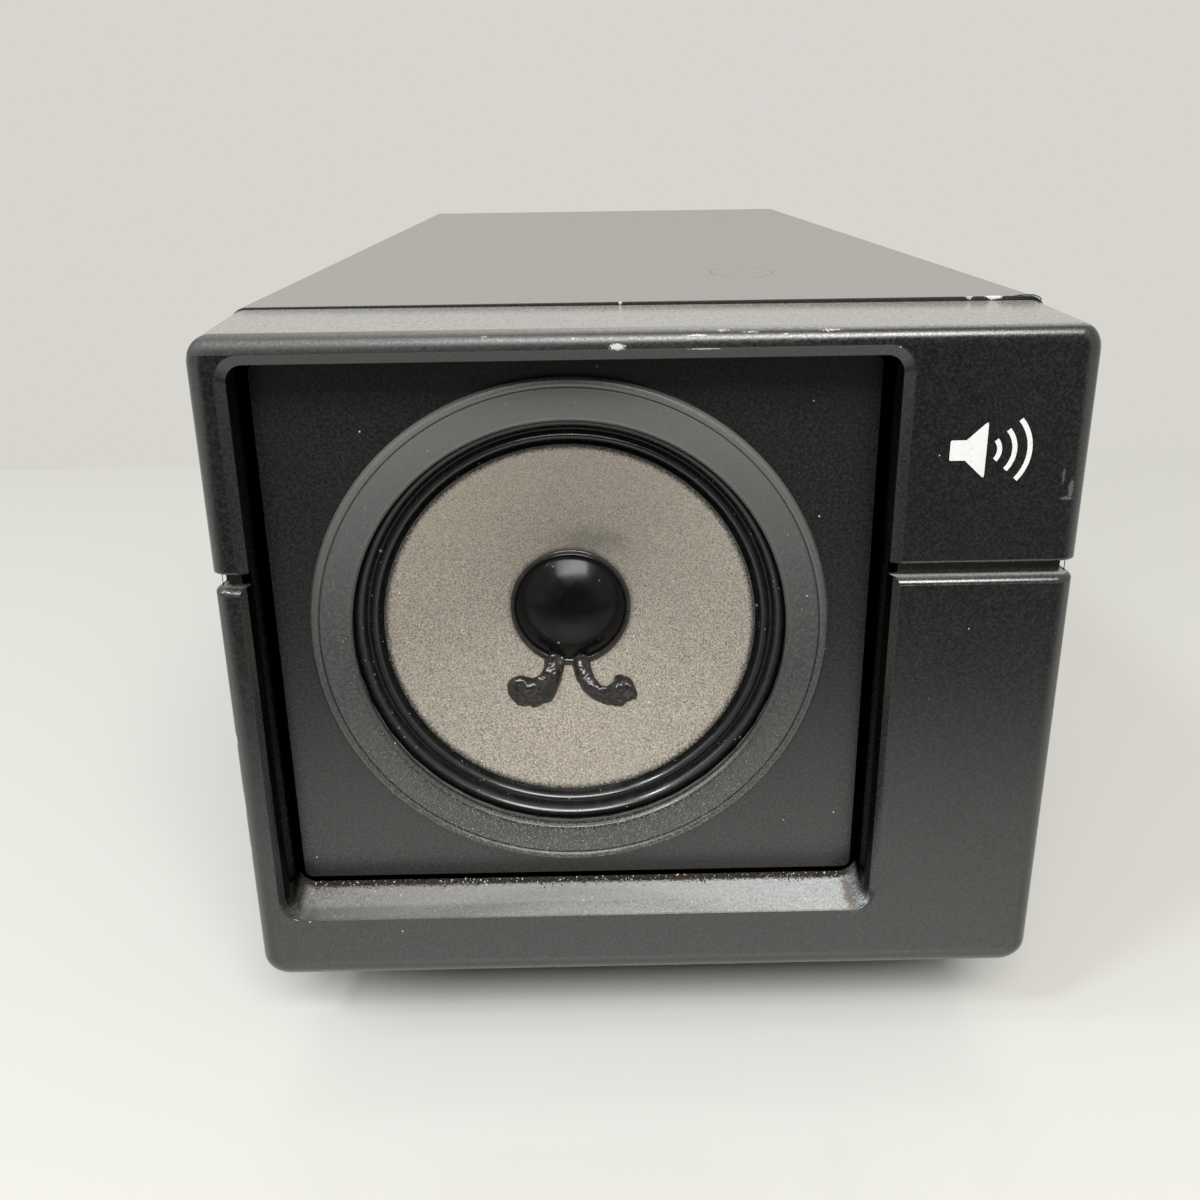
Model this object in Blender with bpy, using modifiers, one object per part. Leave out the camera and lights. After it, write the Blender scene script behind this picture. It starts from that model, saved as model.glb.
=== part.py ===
"""External loudspeaker: a 3-inch class cone driver behind the window of a moulded front bezel,
in a deep cabinet of painted steel sheet.

Units are metres, +Z is up and the front faces -Y. The origin is the centre of the object's
footprint, on the plane that the rubber feet stand on. Most sizes are given in the bezel's own
terms: x across, depth behind the bezel's face, and height above the bezel's lower edge.
"""

import math

import bmesh
import bpy
from mathutils import Matrix, Vector

MM = 0.001

# Driving dimensions
BEZEL_WIDTH = 130.4 * MM
BEZEL_HEIGHT = 108.3 * MM
OVERALL_DEPTH = 300 * MM
FOOT_HEIGHT = 13 * MM  # bezel's lower edge above the table
GAP = 0.3 * MM  # between pieces that touch

# Cabinet
SEAM_DEPTH = 21.3 * MM  # where the bezel's skin ends
CABINET_HALF = 63.6 * MM
CABINET_TOP = 109.8 * MM
CABINET_BOTTOM = 1.2 * MM
COVER_SHEET = 1.0 * MM
CHASSIS_SHEET = 1.2 * MM
COVER_BEND = 2.6 * MM
CHASSIS_BEND = 1.8 * MM
REAR_WALL_DEPTH = OVERALL_DEPTH - 4.5 * MM
FLANGE_HEIGHT = 16 * MM

# Window in the bezel
WINDOW_LEFT = -60.9 * MM
WINDOW_RIGHT = 38.3 * MM
WINDOW_TOP = 105.8 * MM
LEDGE_FRONT = 12.2 * MM
LEDGE_SLOPE = 0.22
BEVEL_WIDTH = 1.5 * MM
BEVEL_DEPTH = 1.2 * MM
TUNNEL_DEPTH = 8.8 * MM
BAFFLE_DEPTH = 9.1 * MM
BAFFLE_BACK = 11.7 * MM
PAD_RISE = 0.6 * MM  # of the pad inside the window in front of the baffle

# Groove across the face
GROOVE_LOW = 71.1 * MM
GROOVE_HIGH = 73.4 * MM
GROOVE_DEPTH = 2.2 * MM
GROOVE_CHAMFER = 0.9 * MM

# Driver: centre of its axis, then radii and depths
DRIVER_X = -11.7 * MM
DRIVER_HEIGHT = 59.9 * MM
RING_OUTER = 41 * MM
RING_INNER = 34.4 * MM
RING_DEPTH = 6.5 * MM
FLANGE_RADIUS = 38.5 * MM
FLANGE_DEPTH = 10.5 * MM
CONE_RADIUS = 29.8 * MM
CONE_EDGE_DEPTH = 10.9 * MM
CONE_NECK_RADIUS = 8.5 * MM
CONE_NECK_DEPTH = 20.9 * MM
CONE_PAPER = 0.45 * MM
CAP_RADIUS = 9.6 * MM
CAP_HEIGHT = 3.5 * MM
FORMER_RADIUS = 8.0 * MM
PLATE_DEPTH = 27.9 * MM
PLATE_THICKNESS = 3 * MM
MAGNET_THICKNESS = 8 * MM

# Fasteners
SCREW_HEAD_RADIUS = 2.6 * MM
SCREW_SHAFT_RADIUS = 1.25 * MM
CLEARANCE_RADIUS = 1.6 * MM
PILOT_RADIUS = 1.45 * MM

FRONT_Y = -OVERALL_DEPTH / 2
AXIS_FORWARD = Matrix.Rotation(math.pi / 2, 4, "X")  # local +Z points to the front, -Y


# ---------------------------------------------------------------- helpers


def clear_scene():
    for obj in list(bpy.data.objects):
        bpy.data.objects.remove(obj, do_unlink=True)


def new_collection(name):
    collection = bpy.data.collections.new(name)
    bpy.context.scene.collection.children.link(collection)
    return collection


def at(x, depth, height):
    """World position of a point given in the bezel's terms."""
    return Vector((x, FRONT_Y + depth, FOOT_HEIGHT + height))


def on_driver(x=0.0, depth=0.0, height=0.0):
    """World position of a point given from the driver's axis."""
    return at(DRIVER_X + x, depth, DRIVER_HEIGHT + height)


def material(name, colour, roughness, metallic=0.0):
    made = bpy.data.materials.new(name)
    made.use_nodes = True
    shader = made.node_tree.nodes["Principled BSDF"]
    shader.inputs["Base Color"].default_value = (*colour, 1)
    shader.inputs["Roughness"].default_value = roughness
    shader.inputs["Metallic"].default_value = metallic
    return made


def add(name, mesh, finish, parent=None):
    """Make the mesh a named sub-part with its material."""
    obj = bpy.data.objects.new(name, mesh)
    PARTS.objects.link(obj)
    mesh.materials.clear()
    mesh.materials.append(finish)
    obj.parent = parent
    return obj


def add_helper(name, mesh):
    """Make the mesh a hidden cutter or join shape."""
    obj = bpy.data.objects.new(name, mesh)
    CUTTERS.objects.link(obj)
    obj.hide_render = True
    obj.display_type = "WIRE"
    return obj


def boolean(obj, other, operation):
    modifier = obj.modifiers.new(other.name, "BOOLEAN")
    modifier.operation = operation
    modifier.solver = "EXACT"
    modifier.object = other


def cut(obj, *others):
    for other in others:
        boolean(obj, other, "DIFFERENCE")


def join(obj, *others):
    for other in others:
        boolean(obj, other, "UNION")


def smooth(obj, angle=35):
    obj.data.shade_smooth()
    obj.data.set_sharp_from_angle(angle=math.radians(angle))


def round_edges(obj, width, segments=2):
    modifier = obj.modifiers.new("round_edges", "BEVEL")
    modifier.width = width
    modifier.segments = segments
    modifier.limit_method = "ANGLE"
    modifier.angle_limit = math.radians(40)


def box_mesh(name, low, high):
    """Box between two opposite corners in world space, its origin at its centre."""
    size = high - low
    bm = bmesh.new()
    bmesh.ops.create_cube(bm, size=1)
    bmesh.ops.scale(bm, vec=size, verts=bm.verts)
    mesh = bpy.data.meshes.new(name)
    bm.to_mesh(mesh)
    bm.free()
    return mesh, (low + high) / 2


def box(name, x, depth, height, finish=None, parent=None):
    """Box over three (low, high) spans in the bezel's terms: a sub-part with a finish, else a helper."""
    low = at(x[0], depth[0], height[0])
    high = at(x[1], depth[1], height[1])
    mesh, centre = box_mesh(name, low, high)
    obj = add(name, mesh, finish, parent) if finish else add_helper(name, mesh)
    obj.location = centre
    return obj


def rod(name, centre, radius, length, axis="Y", sides=16):
    """Hidden cylinder along a world axis, to cut or join with."""
    bm = bmesh.new()
    bmesh.ops.create_cone(
        bm, cap_ends=True, segments=sides, radius1=radius, radius2=radius, depth=length
    )
    turn = {"X": Matrix.Rotation(math.pi / 2, 4, "Y"), "Y": AXIS_FORWARD, "Z": Matrix()}[axis]
    bmesh.ops.transform(bm, matrix=turn, verts=bm.verts)
    mesh = bpy.data.meshes.new(name)
    bm.to_mesh(mesh)
    bm.free()
    obj = add_helper(name, mesh)
    obj.location = centre
    return obj


def turned(name, outline, finish, location, rotation=AXIS_FORWARD, steps=48, parent=None):
    """Turned shape: a closed outline of (radius, depth) points, which runs outwards along the
    front, to the back down its outer side, then inwards. Depth is along local -Z."""
    mesh = bpy.data.meshes.new(name)
    count = len(outline)
    on_axis = outline[0][0] == 0
    edges = [(i, i + 1) for i in range(count - 1)]
    if not on_axis:
        edges.append((count - 1, 0))
    mesh.from_pydata([(radius, 0, -depth) for radius, depth in outline], edges, [])
    obj = add(name, mesh, finish, parent)
    obj.matrix_world = Matrix.Translation(location) @ rotation
    spin = obj.modifiers.new("turn", "SCREW")
    spin.axis = "Z"
    spin.steps = steps
    spin.render_steps = steps
    spin.use_merge_vertices = True
    spin.merge_threshold = 0.005 * MM
    spin.use_smooth_shade = True
    return obj


def shell(path, thickness):
    """Closed outline of a thin wall, from the (radius, depth) path of its front surface."""
    back = []
    for i, (radius, depth) in enumerate(path):
        before = path[max(i - 1, 0)]
        after = path[min(i + 1, len(path) - 1)]
        along = Vector((after[0] - before[0], after[1] - before[1])).normalized()
        back.append((max(radius - along.y * thickness, 0), depth + along.x * thickness))
    if path[0][0] == 0:
        back[0] = (0, path[0][1] + thickness)
    return list(path) + back[::-1]


def arc(centre, radius, start, end, steps):
    """Points on an arc in a plane, angles in degrees."""
    points = []
    for i in range(steps + 1):
        angle = math.radians(start + (end - start) * i / steps)
        points.append((centre[0] + radius * math.cos(angle), centre[1] + radius * math.sin(angle)))
    return points


def rounded_rectangle(left, right, low, high, lower_radius, upper_radius, steps=5):
    """Outline with round corners, anticlockwise from its lower right corner."""
    corners = (
        ((right - lower_radius, low + lower_radius), lower_radius, -90),
        ((right - upper_radius, high - upper_radius), upper_radius, 0),
        ((left + upper_radius, high - upper_radius), upper_radius, 90),
        ((left + lower_radius, low + lower_radius), lower_radius, 180),
    )
    points = []
    for centre, radius, start in corners:
        points += arc(centre, radius, start, start + 90, steps)
    return points


def loft(name, sections):
    """Closed skin through (depth, outline) sections of equal point counts, from front to back."""
    bm = bmesh.new()
    loops = []
    for depth, outline in sections:
        loops.append([bm.verts.new(at(x, depth, height)) for x, height in outline])
    count = len(loops[0])
    for front, back in zip(loops, loops[1:]):
        for i in range(count):
            j = (i + 1) % count
            bm.faces.new((front[i], front[j], back[j], back[i]))
    bm.faces.new(loops[0][::-1])
    bm.faces.new(loops[-1])
    bmesh.ops.recalc_face_normals(bm, faces=bm.faces)
    mesh = bpy.data.meshes.new(name)
    bm.to_mesh(mesh)
    bm.free()
    return mesh


def curve_mesh(name, curve):
    """Mesh of a curve with its caps welded, so that it can be cut, joined or bevelled."""
    guide = bpy.data.objects.new(name + "_curve", curve)
    PARTS.objects.link(guide)
    graph = bpy.context.evaluated_depsgraph_get()
    mesh = bpy.data.meshes.new_from_object(guide.evaluated_get(graph))
    bpy.data.objects.remove(guide, do_unlink=True)
    bm = bmesh.new()
    bm.from_mesh(mesh)
    bmesh.ops.remove_doubles(bm, verts=bm.verts, dist=0.001 * MM)
    bm.to_mesh(mesh)
    bm.free()
    mesh.name = name
    return mesh


def sheet_outline(path, thickness):
    """Closed outline of a bent sheet whose outer surface follows the path."""
    inner = []
    for i, point in enumerate(path):
        before = Vector(path[max(i - 1, 0)])
        after = Vector(path[min(i + 1, len(path) - 1)])
        along = (after - before).normalized()
        inner.append((point[0] + along.y * thickness, point[1] - along.x * thickness))
    return list(path) + inner[::-1]


def extruded(name, outline, depth, finish=None):
    """Flat outline in x and height, extruded over a (front, back) span of depth."""
    curve = bpy.data.curves.new(name, "CURVE")
    curve.dimensions = "2D"
    curve.fill_mode = "BOTH"
    curve.extrude = (depth[1] - depth[0]) / 2
    spline = curve.splines.new("POLY")
    spline.points.add(len(outline) - 1)
    for point, (x, height) in zip(spline.points, outline):
        point.co = (x, height, 0, 1)
    spline.use_cyclic_u = True
    mesh = curve_mesh(name, curve)
    obj = add(name, mesh, finish) if finish else add_helper(name, mesh)
    obj.matrix_world = Matrix.Translation(at(0, sum(depth) / 2, 0)) @ AXIS_FORWARD
    return obj


def tube(name, points, radius, finish, parent=None, sizes=None):
    """Round tube through world points, as a curve with filled caps."""
    curve = bpy.data.curves.new(name, "CURVE")
    curve.dimensions = "3D"
    curve.bevel_depth = radius
    curve.bevel_resolution = 2
    curve.use_fill_caps = True
    curve.materials.append(finish)
    spline = curve.splines.new("POLY")
    spline.points.add(len(points) - 1)
    for i, (point, place) in enumerate(zip(spline.points, points)):
        point.co = (*place, 1)
        point.radius = sizes[i] if sizes else 1
    obj = bpy.data.objects.new(name, curve)
    PARTS.objects.link(obj)
    obj.parent = parent
    return obj


def smooth_route(points, count):
    """Evenly stepped points on a Catmull-Rom curve through the given ones."""
    padded = [points[0]] + list(points) + [points[-1]]
    made = []
    spans = len(points) - 1
    for step in range(count):
        place = step * spans / (count - 1)
        i = min(int(place), spans - 1)
        t = place - i
        a, b, c, d = padded[i : i + 4]
        made.append(
            0.5 * (2 * b + (c - a) * t + (2 * a - 5 * b + 4 * c - d) * t**2)
            + 0.5 * (3 * b - 3 * c + d - a) * t**3
        )
    return made


def screw(name, location, rotation, length, finish, head_height=1.8 * MM):
    """Pan-head screw: local origin under the head, which points along local +Z."""
    outline = [
        (0, -head_height),
        (SCREW_HEAD_RADIUS * 0.65, -head_height),
        (SCREW_HEAD_RADIUS, -head_height * 0.4),
        (SCREW_HEAD_RADIUS, 0),
        (SCREW_SHAFT_RADIUS, 0),
        (SCREW_SHAFT_RADIUS, length),
        (0, length),
    ]
    return turned(name, outline, finish, location, rotation, steps=10)


# ---------------------------------------------------------------- bezel and baffle

BAFFLE_SCREWS = (
    (-52 * MM, 8.6 * MM),
    (44.5 * MM, 8.6 * MM),
    (44.5 * MM, 54 * MM),
    (44.5 * MM, 98 * MM),
)
BEZEL_SCREWS = (-28 * MM, 28 * MM)
BEZEL_SCREW_HEIGHT = 9 * MM
BEZEL_BOSS_RADIUS = 3.4 * MM
LIP_INSET = 0.4 * MM  # of the bezel's rear lip inside the cover
LIP_END = 25.5 * MM
BEZEL_WALL = 2 * MM
FACE_PLATE = 3 * MM


def bezel_body():
    """Solid block with the bezel's outer form. It tapers from the face to the cabinet."""
    bm = bmesh.new()
    bmesh.ops.create_cube(bm, size=1)
    for vert in bm.verts:
        front = vert.co.y < 0
        half = BEZEL_WIDTH / 2 if front else CABINET_HALF
        top = BEZEL_HEIGHT if front else CABINET_TOP
        low = 0 if front else CABINET_BOTTOM
        x = math.copysign(half, vert.co.x)
        vert.co = at(x, 0 if front else SEAM_DEPTH, top if vert.co.z > 0 else low)
    bm.edges.layers.float.new("bevel_weight_edge")
    weight = bm.edges.layers.float["bevel_weight_edge"]
    for edge in bm.edges:
        depths = [vert.co.y - FRONT_Y for vert in edge.verts]
        heights = [vert.co.z for vert in edge.verts]
        if min(depths) > SEAM_DEPTH / 2:
            edge[weight] = 0
        elif max(depths) > SEAM_DEPTH / 2:
            edge[weight] = 0.9  # the four corners that run back
        else:
            edge[weight] = 1.0 if max(heights) < BEZEL_HEIGHT / 2 else 0.75
    mesh = bpy.data.meshes.new("front_bezel")
    bm.to_mesh(mesh)
    bm.free()
    return mesh


def window_sections():
    """Outlines of the window's opening at the face, the end of the bevel and the back."""
    sections = []
    for depth in (-1 * MM, BEVEL_DEPTH, TUNNEL_DEPTH + 1 * MM):
        inset = BEVEL_WIDTH * min(depth / BEVEL_DEPTH, 1)
        low = LEDGE_FRONT + LEDGE_SLOPE * depth
        outline = rounded_rectangle(
            WINDOW_LEFT + inset,
            WINDOW_RIGHT - inset,
            low,
            WINDOW_TOP - inset,
            lower_radius=4 * MM - inset / 2,
            upper_radius=4 * MM - inset,
        )
        sections.append((depth, outline))
    return sections


def groove_cutters():
    """Groove across the face and round both sides, with a chamfered lower lip."""
    half = BEZEL_WIDTH / 2
    side = 1 * MM  # depth of the groove in the side walls
    pocket = (1.1 * MM, 4 * MM)  # width and depth of the pocket at each outer end
    span = (GROOVE_LOW, GROOVE_HIGH)
    past = 2 * MM
    cutters = [box("groove_face", (-half + side, half - side), (-past, GROOVE_DEPTH), span)]
    for sign, name in ((-1, "left"), (1, "right")):
        outer = sorted((sign * (half - side), sign * (half + past)))
        cutters.append(box("groove_side_" + name, outer, (-past, SEAM_DEPTH - 3 * MM), span))
        inner = sorted((sign * (half - side + 0.1 * MM), sign * (half - side - pocket[0])))
        cutters.append(box("groove_pocket_" + name, inner, (-past, pocket[1]), span))
    chamfer = GROOVE_CHAMFER
    profile = [
        (0, GROOVE_LOW - chamfer),
        (chamfer, GROOVE_LOW),
        (chamfer, GROOVE_LOW + 0.5 * MM),
        (-past, GROOVE_LOW + 0.5 * MM),
        (-past, GROOVE_LOW - chamfer - past),
    ]
    bm = bmesh.new()
    ends = []
    for x in (-half - past, half + past):
        ends.append([bm.verts.new(at(x, depth, height)) for depth, height in profile])
    bm.faces.new(ends[0])
    bm.faces.new(ends[1][::-1])
    for i in range(len(profile)):
        j = (i + 1) % len(profile)
        bm.faces.new((ends[0][i], ends[0][j], ends[1][j], ends[1][i]))
    bmesh.ops.recalc_face_normals(bm, faces=bm.faces)
    mesh = bpy.data.meshes.new("groove_chamfer")
    bm.to_mesh(mesh)
    bm.free()
    cutters.append(add_helper("groove_chamfer", mesh))
    return cutters


def make_bezel(finish):
    bezel = add("front_bezel", bezel_body(), finish)
    bevel = bezel.modifiers.new("outer_edges", "BEVEL")
    bevel.limit_method = "WEIGHT"
    bevel.width = 4 * MM
    bevel.segments = 5
    inside = CABINET_HALF - COVER_SHEET - LIP_INSET
    lip_low = CABINET_BOTTOM + CHASSIS_SHEET + LIP_INSET
    lip_high = CABINET_TOP - COVER_SHEET - LIP_INSET
    lip_outline = rounded_rectangle(-inside, inside, lip_low, lip_high, COVER_BEND, COVER_BEND, 4)
    lip = extruded("bezel_lip", lip_outline, (SEAM_DEPTH - 4 * MM, LIP_END))
    hollow = box(
        "bezel_hollow",
        (-inside + BEZEL_WALL, inside - BEZEL_WALL),
        (FACE_PLATE, LIP_END + 5 * MM),
        (lip_low + BEZEL_WALL, lip_high - BEZEL_WALL),
    )
    tunnel = box(
        "window_tunnel",
        (WINDOW_LEFT - 2 * MM, WINDOW_RIGHT + 2 * MM),
        (2 * MM, TUNNEL_DEPTH),
        (LEDGE_FRONT - 2 * MM, WINDOW_TOP + 1 * MM),
    )
    window = add_helper("window_opening", loft("window_opening", window_sections()))
    join(bezel, lip)
    cut(bezel, hollow)
    join(bezel, tunnel)
    for i, (x, height) in enumerate(BAFFLE_SCREWS, 1):
        depth = (FACE_PLATE - 1 * MM, TUNNEL_DEPTH)
        centre = at(x, sum(depth) / 2, height)
        boss = rod(f"baffle_boss_{i}", centre, 3.2 * MM, depth[1] - depth[0])
        join(bezel, boss)
    for i, x in enumerate(BEZEL_SCREWS, 1):
        depth = (FACE_PLATE - 1 * MM, LIP_END)
        centre = at(x, sum(depth) / 2, BEZEL_SCREW_HEIGHT)
        boss = rod(f"bezel_boss_{i}", centre, BEZEL_BOSS_RADIUS, depth[1] - depth[0])
        join(bezel, boss)
    cut(bezel, window)
    cut(bezel, *groove_cutters())
    for i, (x, height) in enumerate(BAFFLE_SCREWS, 1):
        cut(bezel, rod(f"baffle_pilot_{i}", at(x, TUNNEL_DEPTH, height), PILOT_RADIUS, 9 * MM))
    for i, x in enumerate(BEZEL_SCREWS, 1):
        centre = at(x, LIP_END, BEZEL_SCREW_HEIGHT)
        cut(bezel, rod(f"bezel_pilot_{i}", centre, PILOT_RADIUS, 18 * MM))
    smooth(bezel)


CLAMP_ANGLES = (45, 135, 225, 315)
CLAMP_SCREW_RADIUS = 43.6 * MM


def make_baffle(finish):
    """Flat panel behind the window. A raised pad stands in the window with a moat round it."""
    panel = extruded(
        "baffle_panel",
        rounded_rectangle(-59.7 * MM, 48.5 * MM, 5.2 * MM, 105.7 * MM, 1.5 * MM, 1.5 * MM, 3),
        (BAFFLE_DEPTH + GAP, BAFFLE_BACK),
        finish,
    )
    moat = 1.2 * MM
    ledge_back = LEDGE_FRONT + LEDGE_SLOPE * TUNNEL_DEPTH
    pad = extruded(
        "baffle_pad",
        rounded_rectangle(
            WINDOW_LEFT + BEVEL_WIDTH + moat,
            WINDOW_RIGHT - BEVEL_WIDTH - moat,
            ledge_back + moat,
            WINDOW_TOP - BEVEL_WIDTH - moat,
            1.2 * MM,
            1.2 * MM,
            3,
        ),
        (BAFFLE_DEPTH - PAD_RISE, BAFFLE_DEPTH + 1 * MM),
    )
    join(panel, pad)
    cut(panel, rod("driver_hole", on_driver(0, BAFFLE_DEPTH), FLANGE_RADIUS + 0.7 * MM, 20 * MM, sides=48))
    for i, (x, height) in enumerate(BAFFLE_SCREWS, 1):
        cut(panel, rod(f"baffle_clearance_{i}", at(x, BAFFLE_BACK, height), CLEARANCE_RADIUS, 12 * MM))
    for i, x in enumerate(BEZEL_SCREWS, 1):
        centre = at(x, BAFFLE_BACK, BEZEL_SCREW_HEIGHT)
        cut(panel, rod(f"boss_notch_{i}", centre, BEZEL_BOSS_RADIUS + 2 * GAP, 12 * MM))
    for angle in CLAMP_ANGLES:
        x = CLAMP_SCREW_RADIUS * math.cos(math.radians(angle))
        height = CLAMP_SCREW_RADIUS * math.sin(math.radians(angle))
        centre = on_driver(x, BAFFLE_BACK, height)
        cut(panel, rod(f"clamp_pilot_{angle}", centre, PILOT_RADIUS, 3.6 * MM))
    smooth(panel)


def make_baffle_screws(finish):
    for i, (x, height) in enumerate(BAFFLE_SCREWS, 1):
        location = at(x, BAFFLE_BACK + GAP, height)
        screw(f"baffle_screw_{i}", location, AXIS_FORWARD.inverted(), 6 * MM, finish)


# ---------------------------------------------------------------- driver, fixed pieces


def make_trim_ring(finish):
    """Flat ring with a raised outer rim and a fine groove inside the rim."""
    rim = RING_OUTER - 1.3 * MM
    face = RING_DEPTH + 0.15 * MM
    back = BAFFLE_DEPTH - PAD_RISE - GAP
    outline = [
        (RING_INNER, face + 0.45 * MM),
        (RING_INNER + 0.6 * MM, face),
        (rim - 0.5 * MM, face),
        (rim - 0.2 * MM, face + 0.35 * MM),
        (rim, face),
        (rim + 0.4 * MM, face - 0.25 * MM),
        (RING_OUTER - 0.4 * MM, face - 0.05 * MM),
        (RING_OUTER, face + 0.55 * MM),
        (RING_OUTER, back),
        (RING_INNER, back),
    ]
    turned("driver_trim_ring", outline, finish, on_driver(), steps=48)


def ring_outline(inner, outer, front, back):
    return [(inner, front), (outer, front), (outer, back), (inner, back)]


def make_gasket(finish):
    outline = ring_outline(34.9 * MM, 38.3 * MM, 8.8 * MM, 9.5 * MM)
    turned("driver_gasket", outline, finish, on_driver(), steps=36)


def surround_path(steps_per_roll=3):
    """Front surface of the surround from the cone's edge to its flat outer rim."""
    rolls = 2
    height = 0.75 * MM
    inner = CONE_RADIUS + 0.4 * MM
    outer = RING_INNER + 0.5 * MM
    path = [(CONE_RADIUS - 0.4 * MM, CONE_EDGE_DEPTH + 1.0 * MM)]
    total = int(rolls * 2 * steps_per_roll)
    for i in range(total + 1):
        t = i / total
        slope = (CONE_EDGE_DEPTH + 0.7 * MM) * (1 - t) + 9.9 * MM * t
        wave = -height * math.sin(2 * math.pi * rolls * t) * math.sin(math.pi * t) ** 0.5
        path.append((inner + (outer - inner) * t, slope + wave))
    path.append((38.3 * MM, 9.9 * MM))
    return path


def make_surround(finish):
    turned("cone_surround", shell(surround_path(), 0.3 * MM), finish, on_driver(), steps=36)


def make_basket(finish):
    """Pressed steel frame: front flange, four legs, spider shelf and a floor on the top plate."""
    path = [
        (10.2 * MM, 26.9 * MM),
        (15.5 * MM, 26.9 * MM),
        (16.6 * MM, 24.2 * MM),
        (21.2 * MM, 24.2 * MM),
        (31.6 * MM, 17.0 * MM),
        (34.6 * MM, 13.5 * MM),
        (35.2 * MM, FLANGE_DEPTH + 0.2 * MM),
        (FLANGE_RADIUS, FLANGE_DEPTH),
    ]
    basket = turned("driver_basket", shell(path, 0.7 * MM), finish, on_driver(), steps=36)
    width = 26 * MM
    for i, angle in enumerate(CLAMP_ANGLES):
        mesh, _ = box_mesh(
            f"basket_window_{i}",
            Vector((-4.6 * MM, -width / 2, -5.2 * MM)),
            Vector((4.6 * MM, width / 2, 5.2 * MM)),
        )
        cutter = add_helper(f"basket_window_{i}", mesh)
        turn = Matrix.Rotation(-math.radians(angle), 4, "Y")
        cutter.matrix_world = (
            Matrix.Translation(on_driver(0, 20.3 * MM))
            @ turn
            @ Matrix.Translation((27.6 * MM, 0, 0))
            @ Matrix.Rotation(math.pi / 2, 4, "X")
        )
        cut(basket, cutter)


def make_magnet_system(steel, ferrite):
    plate_back = PLATE_DEPTH + PLATE_THICKNESS
    magnet_front = plate_back + GAP
    magnet_back = magnet_front + MAGNET_THICKNESS
    yoke_front = magnet_back + GAP
    yoke_back = yoke_front + 3 * MM
    plate = ring_outline(9.3 * MM, 23 * MM, PLATE_DEPTH, plate_back)
    turned("magnet_top_plate", plate, steel, on_driver(), steps=32)
    magnet = ring_outline(12 * MM, 25 * MM, magnet_front, magnet_back)
    turned("ferrite_magnet", magnet, ferrite, on_driver(), steps=32)
    yoke = [
        (0, PLATE_DEPTH),
        (7.5 * MM, PLATE_DEPTH),
        (7.5 * MM, yoke_front),
        (23 * MM, yoke_front),
        (23 * MM, yoke_back),
        (0, yoke_back),
    ]
    turned("yoke_pole_piece", yoke, steel, on_driver(), steps=32)


def make_spider(finish):
    """Corrugated centring disc between the former and the basket's shelf."""
    inner = FORMER_RADIUS + 0.5 * MM
    outer = 17.2 * MM
    path = []
    steps = 8
    for i in range(steps + 1):
        t = i / steps
        wave = 0.6 * MM * math.sin(2 * math.pi * 2 * t)
        path.append((inner + (outer - inner) * t, 23.4 * MM + wave))
    path.append((20.8 * MM, 23.4 * MM))
    turned("spider", shell(path, 0.35 * MM), finish, on_driver(), steps=24)


BOARD_TILT = math.atan2(7.2, 10.4)  # slope of the basket's legs
TAG_SPACING = 4 * MM


def board_frame():
    """Frame of the terminal board on the lower leg: local Z leaves the leg, local Y runs down it."""
    down = Vector((0, -math.sin(BOARD_TILT), -math.cos(BOARD_TILT)))
    out = Vector((0, math.cos(BOARD_TILT), -math.sin(BOARD_TILT)))
    across = down.cross(out)
    rotation = Matrix((across, down, out)).transposed().to_4x4()
    return Matrix.Translation(on_driver(0, 20.6 * MM, -26.4 * MM) + out * 1.7 * MM) @ rotation


def make_terminals(board_finish, brass):
    frame = board_frame()
    thickness = 1.0 * MM
    corner = Vector((7.5 * MM, 4.5 * MM, thickness / 2))
    mesh, _ = box_mesh("terminal_board", -corner, corner)
    board = add("terminal_board", mesh, board_finish)
    board.matrix_world = frame
    for sign, side in ((-1, "left"), (1, "right")):
        mesh, _ = box_mesh(
            f"solder_tag_{side}", Vector((-1.2, -3.8, -0.25)) * MM, Vector((1.2, 3.8, 0.25)) * MM
        )
        tag = add(f"solder_tag_{side}", mesh, brass)
        place = Vector((sign * TAG_SPACING, 2.5 * MM, thickness / 2 + 0.25 * MM + GAP))
        tag.matrix_world = frame @ Matrix.Translation(place)


def make_clamps(steel, screw_finish):
    """Tabs on the back of the baffle that press the driver's flange forward."""
    depth = (BAFFLE_BACK + GAP, BAFFLE_BACK + GAP + 1 * MM)
    for i, angle in enumerate(CLAMP_ANGLES, 1):
        turn = Matrix.Rotation(-math.radians(angle), 4, "Y")
        outline = rounded_rectangle(36.9 * MM, 47.4 * MM, -3.6 * MM, 3.6 * MM, 1.2 * MM, 1.2 * MM, 2)
        clamp = extruded(f"driver_clamp_{i}", outline, depth, steel)
        clamp.matrix_world = (
            Matrix.Translation(on_driver(0, sum(depth) / 2)) @ turn @ AXIS_FORWARD
        )
        x = CLAMP_SCREW_RADIUS * math.cos(math.radians(angle))
        height = CLAMP_SCREW_RADIUS * math.sin(math.radians(angle))
        cut(clamp, rod(f"clamp_hole_{i}", on_driver(x, depth[0], height), CLEARANCE_RADIUS, 9 * MM))
        location = on_driver(x, depth[1] + GAP, height)
        screw(f"clamp_screw_{i}", location, AXIS_FORWARD.inverted(), 2.8 * MM, screw_finish, 1.4 * MM)


# ---------------------------------------------------------------- driver, moving pieces


def cone_depth(radius):
    """Depth of the cone's front surface at a radius."""
    t = (radius - CONE_NECK_RADIUS) / (CONE_RADIUS - CONE_NECK_RADIUS)
    return CONE_NECK_DEPTH + (CONE_EDGE_DEPTH - CONE_NECK_DEPTH) * t


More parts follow.
